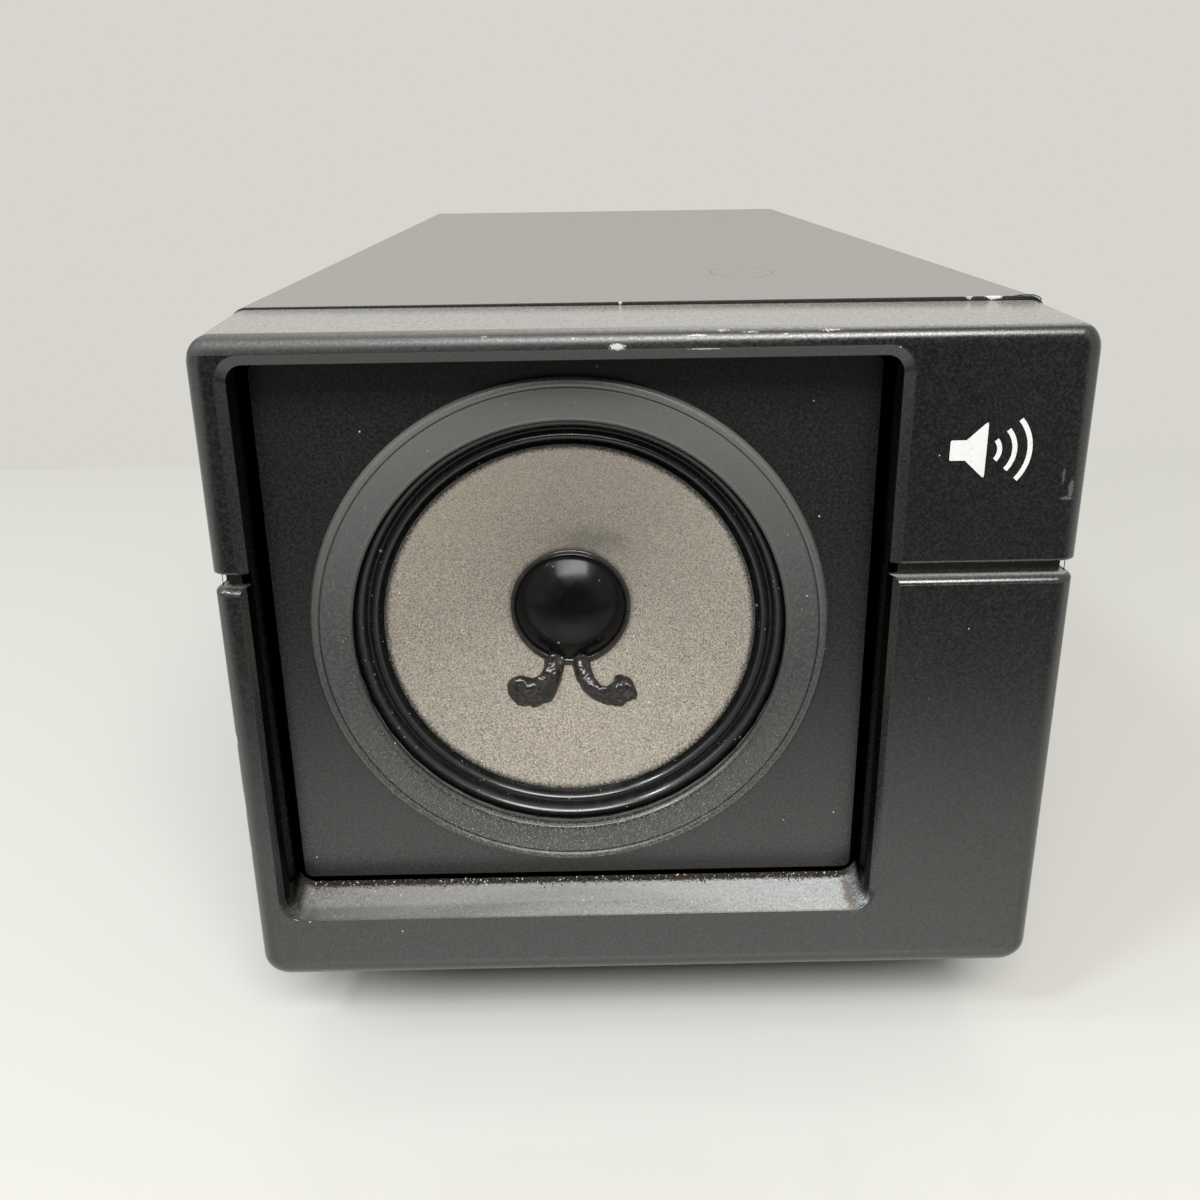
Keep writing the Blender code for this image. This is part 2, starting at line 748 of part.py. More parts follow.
def make_cone(finish, parent):
    radii = (CONE_NECK_RADIUS, 19 * MM, CONE_RADIUS)
    path = [(radius, cone_depth(radius)) for radius in radii]
    turned("paper_cone", shell(path, CONE_PAPER), finish, on_driver(), steps=48, parent=parent)


def make_dust_cap(finish, parent):
    """Shallow dome whose edge lies on the cone."""
    rim_depth = cone_depth(CAP_RADIUS) - 0.7 * MM
    sphere = (CAP_RADIUS**2 + CAP_HEIGHT**2) / (2 * CAP_HEIGHT)
    path = []
    steps = 6
    for i in range(steps + 1):
        radius = CAP_RADIUS * i / steps
        path.append((radius, rim_depth - CAP_HEIGHT + sphere - math.sqrt(sphere**2 - radius**2)))
    turned("dust_cap", shell(path, 0.4 * MM), finish, on_driver(), steps=32, parent=parent)


def make_voice_coil(former_finish, copper, parent):
    former = ring_outline(FORMER_RADIUS, FORMER_RADIUS + 0.2 * MM, 19.9 * MM, 32.6 * MM)
    turned("voice_coil_former", former, former_finish, on_driver(), steps=24, parent=parent)
    coil = ring_outline(FORMER_RADIUS + 0.3 * MM, FORMER_RADIUS + 0.85 * MM, 28.2 * MM, 32.2 * MM)
    turned("voice_coil", coil, copper, on_driver(), steps=24, parent=parent)


def make_lead_glue(finish, parent):
    """Blobs of glue over the leads, from the dust cap down to where they pass the cone."""
    routes = {
        "left": ((-3.1, -10.5), (-4.1, -11.8), (-5.6, -13.0), (-7.4, -13.9)),
        "right": ((1.5, -10.6), (2.9, -12.0), (5.0, -13.2), (7.8, -13.8)),
    }
    sizes = (0.6, 0.7, 1.1, 1.6)
    thickness = 1.2 * MM
    rise = math.hypot(1, (CONE_NECK_DEPTH - CONE_EDGE_DEPTH) / (CONE_RADIUS - CONE_NECK_RADIUS))
    for side, route in routes.items():
        points = []
        for (x, height), size in zip(route, sizes):
            radius = math.hypot(x, height) * MM
            depth = cone_depth(radius) - (size * thickness + GAP) * rise
            points.append(on_driver(x * MM, depth, height * MM))
        tube(f"lead_glue_{side}", points, thickness, finish, parent, sizes)


def make_tinsel_leads(finish):
    """Flexible leads from the back of the cone, out past the lower leg, to the solder tags."""
    loop = ((9.5, 20.2, -19.5), (11, 20.6, -24), (11, 22.2, -28.5), (8, 22, -33))
    for sign, side in ((-1, "left"), (1, "right")):
        start = on_driver(sign * 5.2 * MM, cone_depth(15.5 * MM) + 1.4 * MM, -14.6 * MM)
        route = [start]
        route += [on_driver(sign * x * MM, depth * MM, height * MM) for x, depth, height in loop]
        route.append(board_frame() @ Vector((sign * TAG_SPACING, 7.2 * MM, 1.5 * MM)))
        tube(f"tinsel_lead_{side}", smooth_route(route, 11), 0.35 * MM, finish)


# ---------------------------------------------------------------- cabinet

COVER_SCREW_DEPTHS = (60 * MM, 262 * MM)
COVER_SCREW_HEIGHT = 10 * MM
FOOT_X = 48 * MM
FOOT_DEPTHS = (40 * MM, 270 * MM)
JACK_X = -36 * MM
JACK_HEIGHT = 26 * MM
SIDES = ((-1, "left"), (1, "right"))


def cover_path():
    """Outer surface of the cover in x and height, from one lower edge over the top to the other."""
    half = CABINET_HALF
    corner = CABINET_TOP - COVER_BEND
    left = arc((-half + COVER_BEND, corner), COVER_BEND, 180, 90, 5)
    right = arc((half - COVER_BEND, corner), COVER_BEND, 90, 0, 5)
    return [(-half, CABINET_BOTTOM)] + left + right + [(half, CABINET_BOTTOM)]


def make_cover(finish):
    outline = sheet_outline(cover_path(), COVER_SHEET)
    cover = extruded("cabinet_cover", outline, (SEAM_DEPTH + GAP, OVERALL_DEPTH), finish)
    for sign, side in SIDES:
        for i, depth in enumerate(COVER_SCREW_DEPTHS, 1):
            centre = at(sign * CABINET_HALF, depth, COVER_SCREW_HEIGHT)
            cut(cover, rod(f"cover_hole_{side}_{i}", centre, CLEARANCE_RADIUS, 6 * MM, "X", 12))
    smooth(cover)


def chassis_path(half):
    """Outer surface of the chassis's trough, from one flange's top under the floor to the other."""
    corner = CABINET_BOTTOM + CHASSIS_BEND
    right = arc((half - CHASSIS_BEND, corner), CHASSIS_BEND, 0, -90, 3)
    left = arc((-half + CHASSIS_BEND, corner), CHASSIS_BEND, -90, -180, 3)
    return [(half, FLANGE_HEIGHT)] + right + left + [(-half, FLANGE_HEIGHT)]


def make_chassis(finish):
    """Bottom plate with a rear wall, two side flanges and a front lip, all bent from one sheet."""
    half = CABINET_HALF - COVER_SHEET - 2 * GAP
    sheet = CHASSIS_SHEET
    rear = (REAR_WALL_DEPTH, REAR_WALL_DEPTH + sheet)
    front_lip = (LIP_END + 2 * GAP, LIP_END + 2 * GAP + sheet)
    inside_floor = CABINET_BOTTOM + sheet / 2
    outline = sheet_outline(chassis_path(half), sheet)
    chassis = extruded("chassis", outline, (LIP_END + GAP, rear[1] - GAP), finish)
    wall_half = half - sheet / 2
    wall_top = CABINET_TOP - COVER_SHEET - 2 * GAP
    join(chassis, box("chassis_rear_wall", (-wall_half, wall_half), rear, (inside_floor, wall_top)))
    join(chassis, box("chassis_front_lip", (-50 * MM, 50 * MM), front_lip, (inside_floor, 14 * MM)))
    for sign, side in SIDES:
        for i, depth in enumerate(COVER_SCREW_DEPTHS, 1):
            centre = at(sign * half, depth, COVER_SCREW_HEIGHT)
            cut(chassis, rod(f"flange_hole_{side}_{i}", centre, PILOT_RADIUS, 6 * MM, "X", 12))
        for i, depth in enumerate(FOOT_DEPTHS, 1):
            centre = at(sign * FOOT_X, depth, CABINET_BOTTOM)
            cut(chassis, rod(f"foot_hole_{side}_{i}", centre, PILOT_RADIUS, 6 * MM, "Z", 12))
    for i, x in enumerate(BEZEL_SCREWS, 1):
        centre = at(x, front_lip[0], BEZEL_SCREW_HEIGHT)
        cut(chassis, rod(f"lip_hole_{i}", centre, CLEARANCE_RADIUS, 8 * MM, sides=12))
    jack = at(JACK_X, rear[0], JACK_HEIGHT)
    cut(chassis, rod("jack_hole", jack, 3.3 * MM, 8 * MM))


def make_cabinet_screws(finish):
    for i, x in enumerate(BEZEL_SCREWS, 1):
        location = at(x, LIP_END + CHASSIS_SHEET + 3 * GAP, BEZEL_SCREW_HEIGHT)
        screw(f"bezel_screw_{i}", location, AXIS_FORWARD.inverted(), 8 * MM, finish)
    low_head = 1.1 * MM
    for sign, side in SIDES:
        outward = Matrix.Rotation(sign * math.pi / 2, 4, "Y")
        for i, depth in enumerate(COVER_SCREW_DEPTHS, 1):
            location = at(sign * (CABINET_HALF + 0.15 * MM), depth, COVER_SCREW_HEIGHT)
            screw(f"cover_screw_{side}_{i}", location, outward, 5 * MM, finish, low_head)


def make_feet(rubber, screw_finish):
    """Round rubber feet, each with a recess for its screw."""
    top = CABINET_BOTTOM - GAP  # above the bezel's lower edge
    length = FOOT_HEIGHT + top
    recess = 7 * MM
    outline = [
        (4 * MM, 0),
        (8 * MM, 0),
        (8.5 * MM, 0.6 * MM),
        (9.5 * MM, length),
        (1.7 * MM, length),
        (1.7 * MM, recess),
        (4 * MM, recess),
    ]
    downward = Matrix.Rotation(math.pi, 4, "X")
    for sign, side in SIDES:
        for depth, end in zip(FOOT_DEPTHS, ("front", "rear")):
            name = f"foot_{end}_{side}"
            place = at(sign * FOOT_X, depth, -FOOT_HEIGHT)
            turned(name, outline, rubber, place, downward, steps=24)
            under_head = place + Vector((0, 0, recess - GAP))
            screw(f"foot_screw_{end}_{side}", under_head, downward, 11 * MM, screw_finish)


def make_jack(body_finish, nickel):
    """Panel jack for the speaker lead: body inside, threaded bush through the wall, nut outside."""
    wall_back = REAR_WALL_DEPTH + CHASSIS_SHEET
    bush_end = OVERALL_DEPTH - 0.2 * MM
    backward = AXIS_FORWARD.inverted()
    bore = 1.8 * MM
    body_front = REAR_WALL_DEPTH - 14 * MM
    bore_end = body_front + 2 * MM
    outline = [
        (0, -bore_end),
        (bore, -bore_end),
        (bore, -bush_end),
        (3 * MM, -bush_end),
        (3 * MM, -REAR_WALL_DEPTH + GAP),
        (4.6 * MM, -REAR_WALL_DEPTH + GAP),
        (4.6 * MM, -body_front),
        (0, -body_front),
    ]
    place = at(JACK_X, 0, JACK_HEIGHT)
    turned("input_jack", outline, body_finish, place, backward, steps=24)
    washer = ring_outline(3.3 * MM, 5.2 * MM, -wall_back - 0.8 * MM, -wall_back - GAP)
    turned("jack_washer", washer, nickel, place, backward, steps=24)
    nut = ring_outline(3.7 * MM, 4.9 * MM, -wall_back - 2.8 * MM, -wall_back - 1.1 * MM)
    turned("jack_nut", nut, nickel, place, backward, steps=6)


def make_wires(red, black):
    """Speaker wires from the solder tags along the floor to the jack."""
    for sign, side, finish in ((-1, "left", black), (1, "right", red)):
        tag = board_frame() @ Vector((sign * TAG_SPACING, 5.2 * MM, 2.4 * MM))
        floor = 5.6 * MM
        jack_x = JACK_X + sign * 2.2 * MM
        points = [
            tag,
            tag + Vector((sign * 2, 5, -6)) * MM,
            at(-12 * MM + sign * 3 * MM, 44 * MM, floor),
            at(-22 * MM + sign * 2.4 * MM, 110 * MM, floor),
            at(-18 * MM + sign * 2 * MM, 180 * MM, floor),
            at(-34 * MM + sign * 2 * MM, 238 * MM, floor),
            at(jack_x, 268 * MM, 14 * MM),
            at(jack_x, REAR_WALL_DEPTH - 14.6 * MM, JACK_HEIGHT),
        ]
        tube(f"speaker_wire_{side}", smooth_route(points, 22), 0.8 * MM, finish)


def make_damping_pad(finish):
    """Felt pad on the rear wall, above the jack."""
    back = REAR_WALL_DEPTH - GAP
    pad = box("damping_pad", (-56 * MM, 56 * MM), (back - 12 * MM, back), (38 * MM, 104 * MM), finish)
    round_edges(pad, 2.5 * MM)


# ---------------------------------------------------------------- the whole object


def make_object():
    plastic = material("bezel_plastic", (0.045, 0.047, 0.05), 0.5)
    panel = material("baffle_plastic", (0.035, 0.036, 0.038), 0.65)
    trim = material("trim_plastic", (0.09, 0.09, 0.095), 0.55)
    paint = material("cabinet_paint", (0.06, 0.06, 0.06), 0.55)
    chassis_paint = material("chassis_steel", (0.05, 0.05, 0.052), 0.5)
    rubber = material("rubber", (0.02, 0.02, 0.02), 0.8)
    screw_steel = material("black_screw", (0.03, 0.03, 0.032), 0.35, 1.0)
    zinc = material("zinc_steel", (0.55, 0.54, 0.5), 0.35, 1.0)
    basket_steel = material("basket_steel", (0.35, 0.34, 0.3), 0.4, 1.0)
    ferrite = material("ferrite", (0.05, 0.05, 0.055), 0.6)
    paper = material("cone_paper", (0.28, 0.26, 0.235), 0.95)
    gloss = material("surround_gloss", (0.01, 0.01, 0.011), 0.2)
    cap_gloss = material("cap_gloss", (0.008, 0.008, 0.009), 0.15)
    glue = material("glue", (0.012, 0.011, 0.01), 0.2)
    card = material("gasket_card", (0.04, 0.038, 0.035), 0.9)
    phenolic = material("spider_cloth", (0.35, 0.22, 0.1), 0.85)
    board = material("terminal_board", (0.16, 0.09, 0.04), 0.7)
    brass = material("brass", (0.7, 0.55, 0.25), 0.35, 1.0)
    copper = material("copper", (0.7, 0.3, 0.15), 0.35, 1.0)
    kapton = material("former_film", (0.45, 0.25, 0.06), 0.4)
    wire_red = material("wire_red", (0.45, 0.02, 0.02), 0.5)
    wire_black = material("wire_black", (0.015, 0.015, 0.015), 0.5)
    felt = material("felt", (0.18, 0.17, 0.16), 1.0)
    nickel = material("nickel", (0.75, 0.73, 0.7), 0.25, 1.0)
    jack_plastic = material("jack_plastic", (0.02, 0.02, 0.02), 0.4)
    braid = material("braid", (0.6, 0.5, 0.35), 0.5, 1.0)

    make_bezel(plastic)
    make_baffle(panel)
    make_baffle_screws(screw_steel)

    make_trim_ring(trim)
    make_gasket(card)
    make_surround(gloss)
    make_basket(basket_steel)
    make_magnet_system(zinc, ferrite)
    make_spider(phenolic)
    make_terminals(board, brass)
    make_clamps(zinc, screw_steel)
    make_tinsel_leads(braid)

    diaphragm = bpy.data.objects.new("diaphragm", None)
    PARTS.objects.link(diaphragm)
    make_cone(paper, diaphragm)
    make_dust_cap(cap_gloss, diaphragm)
    make_voice_coil(kapton, copper, diaphragm)
    make_lead_glue(glue, diaphragm)

    make_cover(paint)
    make_chassis(chassis_paint)
    make_cabinet_screws(screw_steel)
    make_feet(rubber, zinc)
    make_jack(jack_plastic, nickel)
    make_wires(wire_red, wire_black)
    make_damping_pad(felt)


clear_scene()
PARTS = new_collection("external_loudspeaker")
CUTTERS = new_collection("cutters")
make_object()
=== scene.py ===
"""Looks of an external loudspeaker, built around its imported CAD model.

World units are metres, with +Z up and the front facing -Y. Most sizes are in the bezel's terms, in
millimetres: x across, depth behind the bezel's face, and height above the bezel's lower edge.
"""

import math
import random

import bmesh
import bpy
import numpy as np
from mathutils import Matrix, Vector, noise


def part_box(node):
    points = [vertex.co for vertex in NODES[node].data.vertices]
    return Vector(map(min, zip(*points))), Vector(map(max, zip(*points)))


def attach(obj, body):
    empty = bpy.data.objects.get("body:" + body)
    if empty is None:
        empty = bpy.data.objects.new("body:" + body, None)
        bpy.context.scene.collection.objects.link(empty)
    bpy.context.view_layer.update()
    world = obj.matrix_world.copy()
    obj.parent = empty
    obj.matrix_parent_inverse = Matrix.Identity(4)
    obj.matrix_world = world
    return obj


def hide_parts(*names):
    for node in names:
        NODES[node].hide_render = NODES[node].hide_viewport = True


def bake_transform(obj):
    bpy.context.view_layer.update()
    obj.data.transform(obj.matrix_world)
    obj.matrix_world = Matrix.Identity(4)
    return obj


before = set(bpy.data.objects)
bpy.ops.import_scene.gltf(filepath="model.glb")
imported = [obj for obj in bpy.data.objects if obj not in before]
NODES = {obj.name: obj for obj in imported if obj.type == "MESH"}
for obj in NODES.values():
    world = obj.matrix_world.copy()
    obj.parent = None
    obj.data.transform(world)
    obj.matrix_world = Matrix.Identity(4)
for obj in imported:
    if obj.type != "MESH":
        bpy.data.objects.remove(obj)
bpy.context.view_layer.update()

MM = 0.001
BEZEL_LOW, BEZEL_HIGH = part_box("front_bezel")
RING_LOW, RING_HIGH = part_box("driver_trim_ring")
COVER_LOW, COVER_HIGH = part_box("cabinet_cover")
FRONT_Y = BEZEL_LOW.y
LIFT = 13 * MM  # bezel's lower edge above the floor
DRIVER_X = (RING_LOW.x + RING_HIGH.x) / 2 / MM
DRIVER_HEIGHT = ((RING_LOW.z + RING_HIGH.z) / 2 - LIFT) / MM
RING_OUTER = (RING_HIGH.x - RING_LOW.x) / 2 / MM
RING_FRONT = (RING_LOW.y - FRONT_Y) / MM
RING_BACK = (RING_HIGH.y - FRONT_Y) / MM
PAD_FRONT = (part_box("baffle_panel")[0].y - FRONT_Y) / MM
SEAM = (COVER_LOW.y - FRONT_Y) / MM - 0.3
OVERALL_DEPTH = (COVER_HIGH.y - FRONT_Y) / MM
CABINET_HALF = COVER_HIGH.x / MM
CABINET_TOP = (COVER_HIGH.z - LIFT) / MM
CABINET_LOW = (COVER_LOW.z - LIFT) / MM


# ---- helpers: places and meshes


def at(x, depth, height):
    """World position of a point given in the bezel's terms, in millimetres."""
    return Vector((x * MM, FRONT_Y + depth * MM, LIFT + height * MM))


def on_driver(x, depth, height):
    """World position of a point given from the driver's axis, in millimetres."""
    return at(DRIVER_X + x, depth, DRIVER_HEIGHT + height)


def new_object(name, data):
    """An object of this data, linked to the scene."""
    obj = bpy.data.objects.new(name, data)
    bpy.context.scene.collection.objects.link(obj)
    return obj


def face_outward(mesh):
    """Turn every face of a closed mesh outwards."""
    bm = bmesh.new()
    bm.from_mesh(mesh)
    bmesh.ops.recalc_face_normals(bm, faces=bm.faces)
    bm.to_mesh(mesh)
    bm.free()


def raw(name, verts, faces):
    """A mesh object from world vertices that isn't tied to the frame yet, such as a cutter."""
    mesh = bpy.data.meshes.new(name)
    mesh.from_pydata([tuple(v) for v in verts], [], [tuple(f) for f in faces])
    face_outward(mesh)
    return new_object(name, mesh)


def piece(name, verts, faces, material, **ties):
    """A shown mesh from world vertices. The ties are those of settle()."""
    return settle(raw(name, verts, faces), material, **ties)


def settle(obj, material, body="cabinet", replaces=(), slot=None, angle=30):
    """Correct the mesh's normals and shading, give it its material, and tie it to the frame."""
    mesh = obj.data
    face_outward(mesh)
    mesh.shade_smooth()
    mesh.set_sharp_from_angle(angle=math.radians(angle))
    if not mesh.materials:
        mesh.materials.append(material)
    if body:
        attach(obj, body)
    if replaces:
        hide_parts(*replaces)
    return obj


def polar(radius, angle):
    """Point in a plane at a radius and an angle in radians."""
    return radius * math.cos(angle), radius * math.sin(angle)


def arc(centre, radius, start, end, steps):
    """Points on an arc in a plane, angles in degrees."""
    spokes = [polar(radius, math.radians(start + (end - start) * i / steps)) for i in range(steps + 1)]
    return [(centre[0] + a, centre[1] + b) for a, b in spokes]


def loops_mesh(loops, closed=False):
    """Vertices and faces of a skin through loops of equal counts. Open skins get end caps."""
    count = len(loops[0])
    verts = [v for loop in loops for v in loop]
    faces = []
    spans = len(loops) if closed else len(loops) - 1
    for k in range(spans):
        a = k * count
        b = (k + 1) % len(loops) * count
        for i in range(count):
            j = (i + 1) % count
            faces.append((a + i, a + j, b + j, b + i))
    if not closed:
        faces.append(tuple(range(count)))
        faces.append(tuple(range((len(loops) - 1) * count, len(loops) * count)))
    return verts, faces


def turned(profile, steps, frame_matrix, closed=True):
    """Vertices and faces of a (radius, depth) profile in mm turned about a frame's local Z.
    Depth runs along local -Z. A profile that starts and ends at radius 0 is closed by its poles."""
    verts = []
    faces = []
    rows = []
    for radius, depth in profile:
        spots = steps if radius else 1
        rows.append([len(verts) + i % spots for i in range(steps)])
        for i in range(spots):
            verts.append(frame_matrix @ (Vector((*polar(radius, 2 * math.pi * i / steps), -depth)) * MM))
    spans = len(rows) if closed and profile[0][0] > 0 else len(rows) - 1
    for k in range(spans):
        a = rows[k]
        b = rows[(k + 1) % len(rows)]
        for i in range(steps):
            j = (i + 1) % steps
            corners = (a[i], a[j], b[j], b[i])
            face = tuple(dict.fromkeys(corners))
            if len(face) > 2:
                faces.append(face)
    return verts, faces


DRIVER_FRAME = Matrix.Translation(on_driver(0, 0, 0)) @ Matrix.Rotation(math.pi / 2, 4, "X")


def spun(name, profile, steps, material, spot=DRIVER_FRAME, **ties):
    """A shown piece turned about an axis."""
    return piece(name, *turned(profile, steps, spot), material, **ties)


def facing(origin, direction):
    """Frame whose local Z points along a world direction."""
    turn = Vector((0, 0, 1)).rotation_difference(Vector(direction)).to_matrix().to_4x4()
    return Matrix.Translation(origin) @ turn


def rounded(profile, radius, steps=3, closed=True):
    """The polyline with each corner rounded. A point's own third value overrides the radius."""
    made = []
    count = len(profile)
    for i, point in enumerate(profile):
        spot = Vector(point[:2])
        wanted = point[2] if len(point) > 2 else radius
        if not closed and i in (0, count - 1) or wanted <= 0:
            made.append(tuple(spot))
            continue
        before = Vector(profile[i - 1][:2]) - spot
        after = Vector(profile[(i + 1) % count][:2]) - spot
        turn = before.angle(after)
        if turn > math.pi - 0.05:
            made.append(tuple(spot))
            continue
        reach = min(wanted / math.tan(turn / 2), before.length * 0.45, after.length * 0.45)
        start = spot + before.normalized() * reach
        end = spot + after.normalized() * reach
        for k in range(steps + 1):
            t = k / steps
            bend = (1 - t) ** 2 * start + 2 * t * (1 - t) * spot + t**2 * end
            made.append(tuple(bend))
    return made


def beside(path, distance):
    """The path moved to its left by a distance."""
    moved = []
    for i, (x, y) in enumerate(path):
        along = (Vector(path[min(i + 1, len(path) - 1)]) - Vector(path[max(i - 1, 0)])).normalized()
        moved.append((x - along.y * distance, y + along.x * distance))
    return moved


def thin_wall(path, thickness):
    """Closed profile of a thin wall, from the (radius, depth) path of its front surface."""
    back = [(max(radius, 0), depth) for radius, depth in beside(path, thickness)]
    if path[0][0] == 0:
        back[0] = (0, path[0][1] + thickness)
    return list(path) + back[::-1]


def applied(obj):
    """Replace the object's mesh by its evaluated one, and drop its modifiers."""
    graph = bpy.context.evaluated_depsgraph_get()
    graph.update()
    mesh = bpy.data.meshes.new_from_object(obj.evaluated_get(graph))
    obj.modifiers.clear()
    obj.data = mesh


def cut(obj, cutters):
    """Cut the cutters from the object, and remove them."""
    for cutter in cutters:
        modifier = obj.modifiers.new(cutter.name, "BOOLEAN")
        modifier.operation = "DIFFERENCE"
        modifier.solver = "EXACT"
        modifier.object = cutter
    bpy.context.view_layer.update()
    applied(obj)
    for cutter in cutters:
        bpy.data.objects.remove(cutter, do_unlink=True)


def block(name, x, depth, height):
    """Box cutter over three (low, high) spans in the bezel's terms."""
    corners = ((0, 0), (1, 0), (1, 1), (0, 1))
    return raw(name, *loops_mesh([[at(x[i], d, height[j]) for i, j in corners] for d in depth]))


# ---- helpers: materials


class Surface:
    """A material's node tree, with short calls for the nodes used here."""

    def __init__(self, name, colour, roughness, metallic=0.0, **sockets):
        self.material = bpy.data.materials.new(name)
        self.material.use_nodes = True
        self.tree = self.material.node_tree
        self.shader = self.tree.nodes["Principled BSDF"]
        self.set("Base Color", (*colour, 1))
        self.set("Roughness", roughness)
        self.set("Metallic", metallic)
        for socket, value in sockets.items():
            self.set(socket.replace("_", " "), value)
        self.place = self.tree.nodes.new("ShaderNodeTexCoord").outputs["Object"]

    def set(self, socket, value):
        self.shader.inputs[socket].default_value = value

    def link(self, output, socket):
        self.tree.links.new(output, self.shader.inputs[socket])

    def node(self, kind, inputs=(), **settings):
        """New shader node. Each input is a fixed value or another node's output."""
        made = self.tree.nodes.new("ShaderNode" + kind)
        for name, value in settings.items():
            setattr(made, name, value)
        for socket, value in dict(inputs).items():
            if isinstance(value, bpy.types.NodeSocket):
                self.tree.links.new(value, made.inputs[socket])
            else:
                made.inputs[socket].default_value = value
        return made

    def noise(self, grain, detail=2.0, rough=0.5, stretch=(1, 1, 1)):
        """Noise whose features are about this many millimetres across."""
        place = self.place
        if stretch != (1, 1, 1):
            place = self.node("Mapping", {0: place, 3: stretch}).outputs[0]
        settings = {"Vector": place, "Scale": 1 / (grain * MM), "Detail": detail, "Roughness": rough}
        return self.node("TexNoise", settings).outputs["Fac"]

    def ramp(self, value, low, high, start=0.0, end=1.0):
        """Value mapped from low..high to start..end, and held outside."""
        return self.node("MapRange", {0: value, 1: low, 2: high, 3: start, 4: end}).outputs[0]

    def math(self, operation, a, b=0.0):
        return self.node("Math", {0: a, 1: b}, operation=operation).outputs[0]

    def times(self, a, b):
        return self.math("MULTIPLY", a, b)

    def plus(self, a, b):
        return self.math("ADD", a, b)

    def minus(self, a, b):
        return self.math("SUBTRACT", a, b)

    def mix(self, factor, a, b):
        """Colour a where the factor is 0, and b where it is 1."""
        a, b = (c if isinstance(c, bpy.types.NodeSocket) else (*c, 1) for c in (a, b))
        return self.node("Mix", {0: factor, 6: a, 7: b}, data_type="RGBA").outputs[2]

    def paint(self, factor, dark, light):
        """Feed the base colour with a mix of two colours."""
        self.link(self.mix(factor, dark, light), "Base Color")

    def layer(self, mask, colour, share=1.0):
        """Lay a colour over what feeds the base colour. The mask says where, and the share how thickly."""
        if share != 1.0:
            mask = self.times(mask, share)
        self.paint(mask, self.feeding("Base Color"), colour)

    def feeding(self, socket):
        """What feeds a socket of the shader."""
        return self.shader.inputs[socket].links[0].from_socket

    def vary_roughness(self, noise, low, high):
        self.link(self.ramp(noise, 0.3, 0.7, low, high), "Roughness")

    def bump(self, height, strength, distance):
        """Bump the surface by a height. The distance is in millimetres."""
        made = self.node("Bump", {"Strength": strength, "Distance": distance * MM, "Height": height})
        self.link(made.outputs[0], "Normal")

    def specks(self, cell, size, share):
        """Mask of sparse round specks, at most one in each cell. Cell and size are in millimetres."""
        made = self.node("TexVoronoi", {"Vector": self.place, "Scale": 1 / (cell * MM)})
        near = self.ramp(made.outputs["Distance"], size / cell, size / cell * 0.6)
        tint = self.node("SeparateColor", {0: made.outputs["Color"]}).outputs[0]
        return self.times(near, self.math("LESS_THAN", tint, share))

    def spot(self, centre, radii, wobble=0.25, grain=1.0, edge=0.35):
        """Mask of an ellipsoid with a ragged edge about a world point. Radii are in millimetres."""
        offset = self.node("VectorMath", {0: self.place, 1: tuple(centre)}, operation="SUBTRACT")
        scale = tuple(1 / (r * MM) for r in radii)
        shrunk = self.node("VectorMath", {0: offset.outputs[0], 1: scale}, operation="MULTIPLY")
        reach = self.node("VectorMath", {0: shrunk.outputs[0]}, operation="LENGTH").outputs["Value"]
        total = self.plus(reach, self.times(self.noise(grain, 4), wobble * 4))
        return self.ramp(total, 1 + wobble * 2 + edge / 2, 1 + wobble * 2 - edge / 2)

    def world(self, k):
        """World coordinate of the point: 0 is X, 1 is Y and 2 is Z, in metres."""
        return self.node("SeparateXYZ", {0: self.place}).outputs[k]

    def axis_radius(self):
        """Distance from the driver's axis, in millimetres."""
        x = self.minus(self.world(0), DRIVER_X * MM)
        z = self.minus(self.world(2), LIFT + DRIVER_HEIGHT * MM)
        square = self.plus(self.times(x, x), self.times(z, z))
        return self.times(self.math("SQRT", square), 1 / MM)

    def depth(self):
        """Depth behind the bezel's face, in millimetres."""
        return self.times(self.minus(self.world(1), FRONT_Y), 1 / MM)

    def height(self):
        """Height above the bezel's lower edge, in millimetres."""
        return self.times(self.minus(self.world(2), LIFT), 1 / MM)

    def within(self, low, high):
        """Mask of a box between two world points."""
        mask = 1.0
        for k in range(3):
            above = self.math("GREATER_THAN", self.world(k), low[k])
            below = self.math("LESS_THAN", self.world(k), high[k])
            mask = self.times(mask, self.times(above, below))
        return mask

    def tunnel(self):
        """Mask of the window's inner walls, but not of the ledge."""
        inside = self.within(at(WINDOW_LEFT, 1.3, LEDGE_FRONT - 0.2), at(WINDOW_RIGHT, 25, WINDOW_TOP))
        return self.times(inside, self.minus(1.0, self.upward(0.0, 0.6)))

    def upward(self, low=0.75, high=0.99):
        """Mask of faces that look up, where dust settles."""
        normal = self.tree.nodes.new("ShaderNodeTexCoord").outputs["Normal"]
        parts = self.node("SeparateXYZ", {0: normal})
        return self.ramp(parts.outputs[2], low, high)

    def ledge(self):
        """Mask of the window's sloping lower ledge and its rounded corners."""
        low = at(WINDOW_LEFT, 0.35, LEDGE_FRONT - 0.2)
        inside = self.within(low, at(WINDOW_RIGHT, TUNNEL_DEPTH, LEDGE_FRONT + 6))
        return self.times(inside, self.upward(0.3, 0.9))


# ---- materials

# Painted shade: black with no reflection, for the window's inner walls and the baffle's moat.
PAINTED_SHADE_BLACK = (0.001, 0.001, 0.001)
CHIPPED = (0.55, 0.54, 0.51)
DUST = (0.55, 0.54, 0.5)


